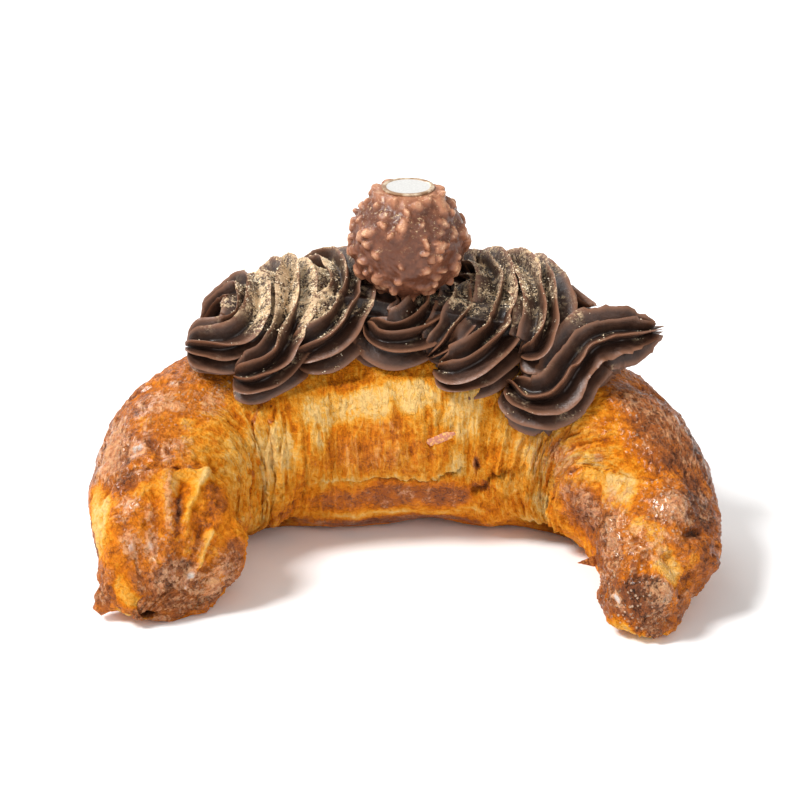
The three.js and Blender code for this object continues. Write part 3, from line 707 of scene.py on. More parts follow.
    def shape(self):
        """Moves the grid out by the sum of all relief, in millimetres."""
        share, angle, base = self.share, self.angle, self.base
        outer = (1 - self.horn) * (1 - self.front)
        out = FIBRE_HEIGHT * self.fibres * self.across + PLEAT_HEIGHT * self.pleats
        out = out + LAYER_HEIGHT * self.steps * (1 - 0.8 * self.strip) * (1 - 0.4 * outer)
        # Lumps everywhere, and wrinkled glaze where the crust is brown: along the crescent outside the bend.
        lumps = noise(base, 11, 41, 2)
        crumpled = np.minimum(ridged(base, 6, 42, 3), 0.35)
        out = out + mix(0.6 * lumps + 0.35 * crumpled, 1.6 * lumps + 0.8 * crumpled, self.horn)
        glazed = smooth(0.42, 0.68, self.level) * (1 - self.strip) * (1 - self.under)
        along = ridged(self.flat + 1.2 * (self.warped - self.wound), 1.9, 46, 2, (3.2, 1, 1))
        around = ridged(base, 2.6, 47, 3)
        wrinkles = mix(around, along, outer) * glazed
        grain = noise(base, 1.5, 43, 2) * (1 - 0.7 * self.strip)
        out = out + mix(WRINKLE_HEIGHT, OUTER_WRINKLE_HEIGHT, outer) * wrinkles + GRAIN_HEIGHT * grain
        self.fine = (0.34 * self.fibres * self.across + 0.8 * self.pleats + 0.25 * (self.steps - 1.5)
                     + 0.35 * crumpled + 0.4 * wrinkles + 0.2 * grain)
        self.blisters = blisters_at(share + 0.01 * noise(base, 7, 44, 2), angle)
        bubbles = smooth(0.3, 0.75, noise(base, 1.15, 45)) * smooth(-0.3, 0.3, noise(base, 5, 46, 2))
        out = out + BLISTER_HEIGHT * bubbles * self.blisters
        out = out + self.horn_relief()
        out = out - CRACK_DEPTH * self.crack - TEAR_DEPTH * self.tear - PIT_DEPTH * self.pit
        out = out - HOLLOW_DEPTH * self.hollow - BAND_DEPTH * self.band + self.folds
        out = out + CRACK_RIM_HEIGHT * self.crack_rim
        # The ragged left end.
        end = 1 - smooth(0.0, 0.03, share)
        out = out + end * (0.9 * noise(base, 4, 61, 3) + 0.5 * noise(base, 1.6, 62, 2))
        # Calm and slightly lower under the border, so that only ganache shows there.
        bed = between(76, 88, 137, 142, angle) * between(0.22, 0.27, 0.7, 0.74, share)
        out = out * (1 - 0.75 * self.under) * (1 - 0.7 * bed) - SINK - BED_DEPTH * bed
        self.points = base + self.normal * out[..., None]
        self.points[..., 2] = np.maximum(self.points[..., 2], 0)

    def paint_relief_light_and_shade(self):
        """Painted light and shade on the fine relief: crests lighter and hollows darker, with the painted
        sheen mostly on the crests.
        """
        raised = np.clip(self.fine, -1, 1)
        even = 1 - 0.5 * smooth(0.6, 0.85, self.level)
        # Painted shade in the hollows and painted light on the crests.
        self.level = np.clip(self.level - 0.26 * even * raised, 0, 1.2)
        # Painted sheen: a base amount where the crust is glossy, and more from the table.
        painted_sheen = 0.55 * self.gloss * smooth(-0.3, 0.5, noise(self.base, 5, 63, 3))
        for row in PAINTED_SHEEN:
            painted_sheen = np.maximum(painted_sheen, row[4] * reach_of(row, self.share + 0.002 * raised, self.angle))
        self.painted_sheen = painted_sheen * (1 - self.recess_shade) * mix(0.35, 1.0, smooth(-0.35, 0.35, raised))

    def horn_relief(self):
        """Bulges of the horns, the left one's corner, and the right one's waist above its rounded tip."""
        share, angle = self.share, self.angle
        left_lobe = bell(share, 0.058, 0.026) * bell(angle, 136, 16)
        corner = bell(share, 0.028, 0.005) * bell(signed(angle), -28, 7)
        waist = bell(share, 0.966, 0.009) * between(20, 45, 150, 175, angle)
        right_lobe = bell(share, 0.9, 0.03) * bell(angle, 158, 20)
        narrow = bell(share, 0.974, 0.018) * bell(signed(angle), 8, 40)
        tip = bell(share, 0.985, 0.012)
        return 1.3 * left_lobe + 1.2 * corner + 0.8 * right_lobe + 0.9 * tip - 0.8 * waist - 2.2 * narrow


def horn_mouth(first):
    """The left end: rings that close over it, down to a small opening at its lower left, painted dark inside
    as shade.
    """
    centre = np.array([MOUTH_X, first[:, 1].mean(), MOUTH_Z])
    jag = noise(first, 3, 81, 3)
    rings, levels, recess_shades = [], [], []
    for i in range(MOUTH_RINGS):
        t = (i + 1) / MOUTH_RINGS
        shrink = mix(1.0, 0.06, t ** 0.9)
        flatten = np.array([1.1, 1.0, mix(1.0, 0.5, float(smooth(0.3, 0.8, t)))])
        ring = centre + (first - centre) * (shrink + 0.09 * jag * math.sin(math.pi * t))[:, None] * flatten
        ring[:, 1] = ring[:, 1] - 1.6 * float(smooth(0, 0.5, t)) + 9 * float(smooth(0.64, 0.9, t))
        ring[:, 1] = ring[:, 1] + 0.8 * noise(ring, 3, 82, 3) * (1 - t)
        pale = 0.4 * bell(t, 0.6, 0.08) * smooth(-61, -66, ring[:, 0])
        rings.append(ring)
        levels.append(0.74 + 0.14 * noise(ring, 3, 83, 3) - pale)
        recess_shades.append(np.full(len(first), float(smooth(0.66, 0.76, t))))
    rings, levels, recess_shades = np.array(rings[::-1]), np.array(levels[::-1]), np.array(recess_shades[::-1])
    rings[..., 2] = np.maximum(rings[..., 2], 0.2)
    return rings, levels, recess_shades


def make_crust():
    crust = Crust()
    rings, levels, recess_shades = horn_mouth(crust.points[0])
    grid = np.concatenate([rings, crust.points])
    tips = np.stack([rings[0].mean(0), crust.points[-1].mean(0) + np.array([0, -0.15, 0])])
    everything = np.concatenate([grid.reshape(-1, 3), tips])
    piece = build("crust", everything, skin_faces(len(grid), SIDES))

    def whole(inside, values):
        """Values for the mouth's rings, the grid and both tips."""
        rows = np.concatenate([inside + np.zeros((len(rings),) + values.shape[1:]), values])
        rows = rows.reshape((-1,) + values.shape[2:])
        return np.concatenate([rows, rows[:1], rows[-1:]])

    layers = {
        "bake": (levels, crust.level),
        "recess_shade": (recess_shades, crust.recess_shade),
        "gloss": (0.5, crust.gloss),
        "painted_sheen": (0.4, crust.painted_sheen),
        "lengthwise": (0.0, (1 - crust.horn) * (1 - crust.front)),
        "blisters": (0.3, crust.blisters),
        "across": (0.0, crust.across),
        "place": (crust.wound[:1], crust.wound),
    }
    for name, (inside, values) in layers.items():
        set_values(piece, name, whole(inside, values))
    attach(piece, "root")
    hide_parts("croissant")
    return piece, crust


# Flakes.

def make_flakes(crust):
    """Thin curled flakes that stand loose on the crust."""
    rng = np.random.default_rng(23)
    radii = np.array([0.35, 0.7, 0.94, 1.0, 0.94, 0.7, 0.35])
    side = np.array([1, 1, 1, 0, -1, -1, -1])
    sides = 22
    around = np.linspace(0, TAU, sides, endpoint=False)
    points, faces, tones = [], [], []
    for share, angle, length, width, turn, stand, tone, pointed in FLAKES:
        i = np.argmin(np.abs(crust.share[:, 0] - share))
        j = np.argmin(np.abs(crust.angle[0] - angle))
        normal = crust.normal[i, j]
        along = crust.points[i + 2, j] - crust.points[i - 2, j]
        along = along - normal * along.dot(normal)
        along = along / np.linalg.norm(along)
        across = np.cross(normal, along)
        # A ragged oblong with rounded corners.
        ragged = 1 + rng.uniform(-0.16, 0.16, sides)
        c, t = np.cos(around), np.sin(around)
        u = 0.5 * length * radii[:, None] * (ragged * np.sign(c) * np.abs(c) ** 0.6)
        taper = 1 - pointed * (u / length + 0.5)
        v = 0.5 * width * radii[:, None] * (ragged * np.sign(t) * np.abs(t) ** 0.6) * taper
        thick = (0.04 + 0.05 * (1 - radii ** 2))[:, None] * side[:, None]
        w = 0.12 + 0.5 * (u / length + 0.5) ** 2 - 0.4 * (v / width) ** 2 + thick
        c, t = math.cos(math.radians(turn)), math.sin(math.radians(turn))
        ahead, aside = along * c + across * t, across * c - along * t
        c, t = math.cos(math.radians(stand)), math.sin(math.radians(stand))
        ahead, outward = ahead * c + normal * t, normal * c - ahead * t
        place = crust.points[i, j] + (u + 0.5 * length)[..., None] * ahead + v[..., None] * aside
        place = place + w[..., None] * outward
        tips = np.stack([place[0].mean(0), place[-1].mean(0)])
        first = sum(len(p) for p in points)
        points.append(np.concatenate([place.reshape(-1, 3), tips]))
        faces.extend([tuple(k + first for k in face) for face in skin_faces(len(radii), sides)])
        tones.append(np.full(len(radii) * sides + 2, tone))
    piece = build("loose_flakes", np.concatenate(points), faces)
    set_values(piece, "tone", np.concatenate(tones))
    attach(piece, "root")
    return piece


# Ganache.

def ridge_y(x):
    """Where the border's ridge runs, seen from above."""
    return -1 - 14 * (x / 47) ** 2


PLAN = np.linspace(0, 1, 241)


def crust_height(x, y):
    """Roughly how high the crust is at a place, from the nearest section."""
    cx, cy, inner, outer, height = section_along(PLAN)
    near = np.argmin(np.hypot(cx - x, cy - y))
    ox, oy = outward_along(PLAN[near])
    side = (x - cx[near]) * ox + (y - cy[near]) * oy
    middle = WIDEST_AT * height[near]
    half = outer[near] if side > 0 else inner[near]
    across = min(0.98, abs(side) / half)
    return middle + (height[near] - middle) * math.sqrt(1 - across ** 2.1)


def on_crust(x, behind, above):
    y = ridge_y(x) + behind
    return np.array([x, y, crust_height(x, y) + above])


def weigh(u, start, end, first, last):
    """From first at start to last at end."""
    return (end - u) / (end - start) * first + (u - start) / (end - start) * last


def curve_through(points, steps):
    """Centripetal Catmull-Rom, resampled at even steps; returns places and the point index at each."""
    points = np.asarray(points, float)
    ends = np.concatenate([[2 * points[0] - points[1]], points, [2 * points[-1] - points[-2]]])
    fine, index = [], []
    for i in range(len(points) - 1):
        p = ends[i:i + 4]
        t = np.concatenate([[0], np.cumsum(np.sqrt(np.linalg.norm(np.diff(p, axis=0), axis=1)))])
        u = np.linspace(t[1], t[2], CURVE_STEPS, endpoint=False)[:, None]
        a = [weigh(u, t[k], t[k + 1], p[k], p[k + 1]) for k in range(3)]
        b = [weigh(u, t[k], t[k + 2], a[k], a[k + 1]) for k in range(2)]
        fine.append(weigh(u, t[1], t[2], b[0], b[1]))
        index.append(i + np.linspace(0, 1, CURVE_STEPS, endpoint=False))
    fine = np.concatenate(fine + [points[-1:]])
    index = np.concatenate(index + [[len(points) - 1]])
    run = np.concatenate([[0], np.cumsum(np.linalg.norm(np.diff(fine, axis=0), axis=1))])
    even = np.linspace(0, run[-1], steps)
    places = np.stack([np.interp(even, run, fine[:, k]) for k in range(3)], -1)
    return places, np.interp(even, run, index), run[-1]


def carried_frames(places):
    """Two directions square to the curve at each place, carried along without twist."""
    ahead = np.gradient(places, axis=0)
    ahead /= np.linalg.norm(ahead, axis=1, keepdims=True)
    up = np.array([0.0, 0.0, 1.0])
    first = up - ahead[0] * ahead[0].dot(up)
    first /= np.linalg.norm(first)
    sides = [first]
    for i in range(1, len(places)):
        v = sides[-1] - ahead[i] * ahead[i].dot(sides[-1])
        sides.append(v / np.linalg.norm(v))
    sides = np.array(sides)
    return ahead, sides, np.cross(ahead, sides)


def star(theta):
    """The section of the nozzle's rope: 1 on the rounded rim of each thin crest, 0 in the hollow between."""
    rim, sharpness = 0.045, 0.72
    away = np.sqrt(np.sin(RIDGES * theta / 2) ** 2 + rim) ** sharpness
    return np.clip((1 - away) / (1 - math.sqrt(rim) ** sharpness), 0, 1)


def rope(name, seed, step, rows, turn, finger, torn, crested=1.0):
    """A stroke from a star nozzle: thin crests with hollow flanks, torn along the crests and at the ends.

    The crests run on past the stroke's end by up to finger millimetres, and torn says how ragged they are.
    """
    route = [on_crust(*row[:3]) for row in rows]
    sizes = [row[3] for row in rows]
    sides = RIDGES * RIDGE_SIDES
    _, _, length = curve_through(route, 50)
    steps = int(length / step)
    places, index, length = curve_through(route, steps)
    ahead, right, over = carried_frames(places)
    size = np.interp(index, np.arange(len(sizes)), sizes)
    size = np.convolve(np.pad(size, 4, mode="edge"), np.ones(9) / 9, mode="valid")
    even = np.linspace(0, TAU, sides, endpoint=False)
    around = even - 0.6 / RIDGES * np.sin(RIDGES * even)
    at, theta = np.meshgrid(np.linspace(0, length, steps), around, indexing="ij")
    ridge = np.round(theta / TAU * RIDGES) % RIDGES
    crest = star(theta) * crested
    key = np.stack([at, ridge * 37.0, 0 * at + seed * 11.0], -1)
    soft_key = np.stack([at, 3 * np.cos(theta), 3 * np.sin(theta) + seed * 19.0], -1)
    # Crests swell, sag and wander from side to side, each in its own way.
    tall = 1 + 0.2 * noise(key, 12, seed, 2)
    wander = 0.3 * noise(key, 12, seed + 3, 2) + 0.03 * noise(key, 3, seed + 4)
    lean = 0.16 * noise(key, 30, seed + 5)
    groove = GROOVE_SHARE * (1 + 0.1 * noise(soft_key, 6, seed + 9, 2))
    radius = ROPE_RADIUS * size[:, None] * (groove + (tall - groove) * crest)
    saw = (at / 4.6 + 0.9 * noise(key, 7, seed + 6) + 0.37 * ridge) % 1
    tear = saw ** 2 - 0.35 + 0.35 * noise(key, 1.5, seed + 7, 2)
    radius = radius + torn * tear * crest ** 3 * mix(0.35, 1.0, smooth(0.4, 0.9, at / length))
    radius = radius + 0.16 * noise(soft_key * [0.35, 1, 1], 0.9, seed + 8, 3)
    # The start is a rounded end, and the crests run on past the grooves at the other one.
    reach = 0.15 + 0.85 * lattice(np.stack([ridge, 0 * ridge, 0 * ridge], -1).astype(np.int64), seed + 2)
    closing = np.clip(at / 3.6, 0, 1)
    radius = radius * (0.1 + 0.9 * np.sqrt(1 - (1 - closing) ** 2)) * mix(0.8 + 0.2 * closing, 1.0, crest)
    closing = np.clip((length - at) / (3.0 + 0.6 * finger), 0, 1)
    radius = radius * (mix(0.16, 0.42, crest) + mix(0.84, 0.58, crest) * closing ** mix(0.8, 0.55, crest))
    push = smooth(9, 0, length - at) - 0.5 * smooth(6, 0, at)
    push = finger * crest ** 1.5 * reach * push
    turn_at = theta + turn + TWIST * at + (wander + lean) * crest
    sway = 0.4 * noise(np.stack([at, 0 * at, 0 * at + seed], -1), 6, seed + 21)
    centre = places[:, None, :] + over[:, None, :] * sway[..., None]
    points = (centre + right[:, None, :] * (radius * np.cos(turn_at))[..., None]
              + over[:, None, :] * (radius * np.sin(turn_at))[..., None]
              + ahead[:, None, :] * push[..., None])
    tips = np.stack([places[0] + 0.8 * ahead[0], places[-1] - 0.8 * ahead[-1]])
    piece = build(name, np.concatenate([points.reshape(-1, 3), tips]), skin_faces(steps, sides))
    return piece, points.reshape(-1, 3), crest.ravel()


def without_strays(mesh):
    """Merges the slivers that a union leaves, and keeps only the largest closed skin of the mesh."""
    bm = bmesh.new()
    bm.from_mesh(mesh)
    bmesh.ops.remove_doubles(bm, verts=bm.verts, dist=MERGED_WITHIN * MM)
    bmesh.ops.dissolve_degenerate(bm, edges=bm.edges, dist=COLLAPSED_BELOW * MM)
    bmesh.ops.triangulate(bm, faces=bm.faces)
    bm.faces.index_update()
    skin_of = [-1] * len(bm.faces)
    skins = []
    for first in bm.faces:
        if skin_of[first.index] >= 0:
            continue
        skin_of[first.index] = len(skins)
        queue, skin = [first], [first]
        while queue:
            for edge in queue.pop().edges:
                if len(edge.link_faces) != 2:
                    continue
                for face in edge.link_faces:
                    if skin_of[face.index] < 0:
                        skin_of[face.index] = len(skins)
                        queue.append(face)
                        skin.append(face)
        skins.append(skin)
    skins.sort(key=len)
    stray = [face for skin in skins[:-1] for face in skin]
    bmesh.ops.delete(bm, geom=stray, context="FACES")
    open_edges = [edge for edge in bm.edges if edge.is_boundary]
    bmesh.ops.holes_fill(bm, edges=open_edges, sides=HOLE_SIDES)
    bmesh.ops.triangulate(bm, faces=bm.faces)
    bm.to_mesh(mesh)
    bm.free()


def united(name, pieces):
    """One closed mesh from overlapping ones."""
    rest = bpy.data.collections.new(name + "_parts")
    bpy.context.scene.collection.children.link(rest)
    for piece in pieces[1:]:
        bpy.context.scene.collection.objects.unlink(piece)
        rest.objects.link(piece)
    target = pieces[0]
    join = target.modifiers.new("join", "BOOLEAN")
    join.operation = "UNION"
    join.operand_type = "COLLECTION"
    join.collection = rest
    join.solver = "MANIFOLD"
    graph = bpy.context.evaluated_depsgraph_get()
    mesh = bpy.data.meshes.new_from_object(target.evaluated_get(graph))
    for piece in pieces:
        bpy.data.objects.remove(piece)
    bpy.data.collections.remove(rest)
    without_strays(mesh)
    whole = bpy.data.objects.new(name, mesh)
    mesh.name = name
    bpy.context.scene.collection.objects.link(whole)
    return whole


def make_ganache():
    """The strokes as one mesh. Each vertex takes how near it is to a crest from the strokes' own points."""
    parts = []
    for i, (name, stroke) in enumerate(STROKES.items()):
        step = CORE_STEP if name == "core" else STROKE_STEP
        parts.append(rope(name, 100 + 7 * i, step, **stroke))
    pieces, places, crests = zip(*parts)
    places = np.concatenate(places)
    crest = np.concatenate(crests)
    whole = united("ganache_border", pieces)
    mesh = whole.data
    mesh.shade_smooth()
    mesh.set_sharp_from_angle(angle=math.radians(BORDER_EDGE))
    tree = KDTree(len(places))
    for i, place in enumerate(places):
        tree.insert(place, i)
    tree.balance()
    at = places_of(mesh)
    near = np.array([tree.find(place)[1] for place in at])
    set_values(whole, "crest", crest[near])
    set_values(whole, "dusted", dust_amount(at))
    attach(whole, "root")
    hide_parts("ganache")
    return whole


def dust_amount(at):
    """Where the gold dust fell, 0 to 1: two clouds on the top, a thin veil elsewhere."""
    total = 0.1
    for centre, half_width, most, low, high in DUST_CLOUDS:
        total = total + most * bell(at[:, 0], centre, half_width) * smooth(low, high, at[:, 2])
    return np.clip(total + 0.6 * noise(at, 5, 91, 3), 0, 1)


# Praline.

def make_praline():
    """The ball: chopped nuts under chocolate, spread evenly and each turned and sized by chance."""
    rng = np.random.default_rng(41)
    work = bmesh.new()
    bmesh.ops.create_icosphere(work, subdivisions=SHELL_SUBDIVISIONS, radius=1)
    at = np.array([v.co[:] for v in work.verts])
    faces = [[v.index for v in f.verts] for f in work.faces]
    work.free()
    at /= np.linalg.norm(at, axis=1, keepdims=True)
    height = 1 - 2 * (np.arange(NUTS) + 0.5) / NUTS
    turn = np.arange(NUTS) * GOLDEN_ANGLE + rng.uniform(-0.4, 0.4, NUTS)
    height = np.clip(height + rng.uniform(-0.06, 0.06, NUTS), -1, 1)
    ring = np.sqrt(1 - height ** 2)
    towards = np.stack([ring * np.cos(turn), ring * np.sin(turn), height], -1)
    bump = np.zeros(len(at))
    tips = np.zeros(len(at))
    ragged = 0.55 * noise(at * PRALINE_RADIUS, 1.6, 46, 3)
    for i, nut in enumerate(towards):
        lean = rng.normal(size=3)
        lean -= nut * lean.dot(nut)
        lean /= np.linalg.norm(lean)
        cross = np.cross(nut, lean)
        long_side = rng.uniform(*NUT_REACH) * (1.35 if i % 6 == 0 else 1)
        short_side = long_side * rng.uniform(*NUT_WIDTH)
        tall = rng.uniform(*NUT_HEIGHT)
        off = at - nut
        r = np.hypot(off.dot(lean) / long_side, off.dot(cross) / short_side) + ragged
        r = np.where(at.dot(nut) < 0.5, 9.0, r)
        lump = tall * np.sqrt(np.clip(1 - np.clip(r, 0, None) ** 2.4, 0, None))
        bump = np.maximum(bump, lump + 0.35 * tall * (1 - smooth(0.7, 1.9, r)))
        tips = np.maximum(tips, rng.uniform(0.3, 1) * (1 - smooth(0.1, 0.7, r)))
    # The shell swells towards the seal and is flat under it.
    near_seal = 1 - smooth(0.84, 0.9, at[:, 2])
    swell = 0.9 * smooth(0.72, 0.87, at[:, 2])
    bump = (bump + 0.5 * noise(at * PRALINE_RADIUS, 3.4, 44, 3)) * near_seal + swell
    bump = bump + 0.06 * noise(at * PRALINE_RADIUS, 0.8, 45, 2) * near_seal
    top = SEAT_HEIGHT / np.maximum(at[:, 2], 0.5)
    radius = np.minimum(PRALINE_RADIUS + bump, top)
    piece = build("praline_shell", PRALINE_CENTRE + at * radius[:, None], faces)
    # Paler nut tips for the material: partly bare nut, partly painted highlight.
    set_values(piece, "nut_tips_and_highlights", tips * near_seal)
    set_values(piece, "raised", np.clip(bump / 1.3, 0, 1))
    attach(piece, "root")
    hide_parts("praline")
    return piece


def make_seal():
    """A thin paper disc with a pressed rim, turned from its outline."""
    half = SEAL_THICKNESS / 2
    r = SEAL_RADIUS
    pressed = 0.14
    outline = [(0.02, -half), (r * 0.5, -half), (r - 0.15, -half), (r, -0.1), (r, 0.1), (r - 0.12, half),
               (r * 0.93, half + 0.02), (r * 0.86, half), (r * 0.84, half - 0.12)]
    outline += [(r * f, half - pressed) for f in (0.81, 0.6, 0.4, 0.2, 0.003)]
    around = np.linspace(0, TAU, SEAL_SIDES, endpoint=False)
    rings = [np.stack([ri * np.cos(around), ri * np.sin(around), zi + 0 * around], -1) for ri, zi in outline]
    centre = PRALINE_CENTRE + np.array([0, 0, SEAT_HEIGHT + half])
    points = np.concatenate(rings + [np.array([[0, 0, -half], [0, 0, half - pressed]])]) + centre
    piece = build("paper_seal", points, skin_faces(len(rings), SEAL_SIDES))
    piece.data.set_sharp_from_angle(angle=math.radians(SEAL_EDGE))
    set_values(piece, "reach", np.hypot(points[:, 0] - centre[0], points[:, 1] - centre[1]) / r)
    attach(piece, "root")
    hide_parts("seal")
    return piece


# Loose bits.

def make_dust(border):
    """Grains of gold dust on the upper sides of the ganache, each a small turned eight-sided crystal."""
    rng = np.random.default_rng(7)
    mesh = border.data
    mesh.calc_loop_triangles()
    count = len(mesh.loop_triangles)
    corners = np.empty(count * 3, np.int64)
    mesh.loop_triangles.foreach_get("vertices", corners)
    tri = places_of(mesh)[corners.reshape(-1, 3)]
    first, to_second, to_third = tri[:, 0], tri[:, 1] - tri[:, 0], tri[:, 2] - tri[:, 0]
    normal = np.cross(to_second, to_third)
    area = np.linalg.norm(normal, axis=1) / 2
    normal = normal / (2 * area[:, None] + 1e-12)
    middle = tri.mean(1)
    weight = area * np.clip(normal[:, 2] - 0.1, 0, 1) * dust_amount(middle) ** 3
    weight = weight * np.clip(0.4 + 1.6 * noise(middle, 1.6, 95, 2), 0, 2)
    pick = rng.choice(count, GRAINS, p=weight / weight.sum())
    u, v = rng.random(GRAINS), rng.random(GRAINS)
    over = u + v > 1
    u[over], v[over] = 1 - u[over], 1 - v[over]
    spot = first[pick] + u[:, None] * to_second[pick] + v[:, None] * to_third[pick]
    large = rng.uniform(*GRAIN_SIZES, GRAINS)
    size = large * (1 + 0.7 * (rng.random(GRAINS) < 0.12))
    form = np.array([(1, 0, 0), (-1, 0, 0), (0, 1, 0), (0, -1, 0), (0, 0, 0.8), (0, 0, -0.8)], float)
    form = form[None] * rng.uniform(0.6, 1.3, (GRAINS, 6, 1))
    turn = rng.uniform(0, TAU, GRAINS)
    c, s = np.cos(turn)[:, None], np.sin(turn)[:, None]
    x, y, z = form[..., 0], form[..., 1], form[..., 2]
    form = np.stack([x * c - y * s, x * s + y * c, z], -1)
    points = spot[:, None] + normal[pick][:, None] * (0.5 * size)[:, None, None] + form * size[:, None, None]
    faces = []
    for a in range(0, GRAINS * 6, 6):
        for i, j in ((0, 2), (2, 1), (1, 3), (3, 0)):
            faces.append((a + i, a + j, a + 4))
            faces.append((a + j, a + i, a + 5))
    piece = build("gold_dust", points.reshape(-1, 3), faces, flat=True)
    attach(piece, "root")
    return piece


# Materials.

class Nodes:
    """A material's node tree, built by name."""

    def __init__(self, name):
        self.material = bpy.data.materials.new(name)
        self.material.use_nodes = True
        self.tree = self.material.node_tree
        self.shader = self.tree.nodes["Principled BSDF"]
        self.here = self.add("ShaderNodeTexCoord").outputs["Object"]

    def add(self, kind, sockets=None, **settings):
        node = self.tree.nodes.new(kind)
        for key, value in settings.items():
            setattr(node, key, value)
        for key, value in (sockets or {}).items():
            self.put(node.inputs[key], value)
        return node

    def put(self, socket, value):
        if isinstance(value, bpy.types.NodeSocket):
            self.tree.links.new(value, socket)
        else:
            socket.default_value = value

    def surface(self, **sockets):
        """Sets the shader's sockets, named with underscores for spaces, and gives the material."""
        for name, value in sockets.items():
            self.put(self.shader.inputs[name.replace("_", " ")], value)
        return self.material

    def attribute(self, name, output="Fac"):
        return self.add("ShaderNodeAttribute", attribute_name=name).outputs[output]

    def upward(self):
        """How far a place faces up, from -1 to 1."""
        facing = self.add("ShaderNodeNewGeometry").outputs["Normal"]
        return self.add("ShaderNodeSeparateXYZ", {0: facing}).outputs["Z"]

    def math(self, operation, a, b=0.0, clamp=False):
        node = self.add("ShaderNodeMath", {0: a, 1: b}, operation=operation, use_clamp=clamp)
        return node.outputs[0]

    def times(self, a, b, clamp=False):
        return self.math("MULTIPLY", a, b, clamp)

    def weighted(self, *parts):
        """The sum of values, each times its weight."""
        total = None
        for value, weight in parts:
            term = value if weight == 1 else self.times(value, weight)
            total = term if total is None else self.math("ADD", total, term)
        return total

    def mix(self, a, b, share):
        return self.add("ShaderNodeMix", {0: share, 2: a, 3: b}).outputs[0]

    def ramp(self, value, low, high, to_low=0.0, to_high=1.0):
        sockets = {"Value": value, "From Min": low, "From Max": high, "To Min": to_low, "To Max": to_high}
        return self.add("ShaderNodeMapRange", sockets, interpolation_type="SMOOTHSTEP").outputs[0]

    def blend(self, share, a, b):
        return self.add("ShaderNodeMix", {0: share, 6: a, 7: b}, data_type="RGBA").outputs[2]

    def two_tone(self, value, low, high, first, second):
        """One sRGB colour where a value is low, and another where it is high."""
        return self.blend(self.ramp(value, low, high), rgba(*first), rgba(*second))

    def paint(self, colour, share, over):
        """An sRGB colour laid over another."""
        return self.blend(share, colour, rgba(*over))

    def noise(self, vector, scale, detail=3.0, roughness=0.55, output=0):
        sockets = {"Vector": vector, "Scale": scale, "Detail": detail, "Roughness": roughness}
        return self.add("ShaderNodeTexNoise", sockets).outputs[output]

    def stops(self, value, colours):
        """A colour ramp through sRGB colours at given places."""
        node = self.add("ShaderNodeValToRGB", {0: value})
        marks = node.color_ramp.elements
        while len(marks) < len(colours):
            marks.new(0.5)
        for mark, (at, colour) in zip(marks, colours):
            mark.position = at
            mark.color = rgba(*colour)
        return node.outputs[0]

    def stretched(self, vector, scale):
        return self.add("ShaderNodeMapping", {"Vector": vector, "Scale": scale}).outputs[0]

    def bump(self, height, strength, distance):
        sockets = {"Height": height, "Strength": strength, "Distance": distance}
        return self.add("ShaderNodeBump", sockets).outputs[0]


def rgba(r, g, b):
    """An sRGB colour, 0 to 255, as linear light with full cover."""
    c = np.array([r, g, b], float) / 255
    return (*np.where(c <= 0.04045, c / 12.92, ((c + 0.055) / 1.055) ** 2.4), 1.0)


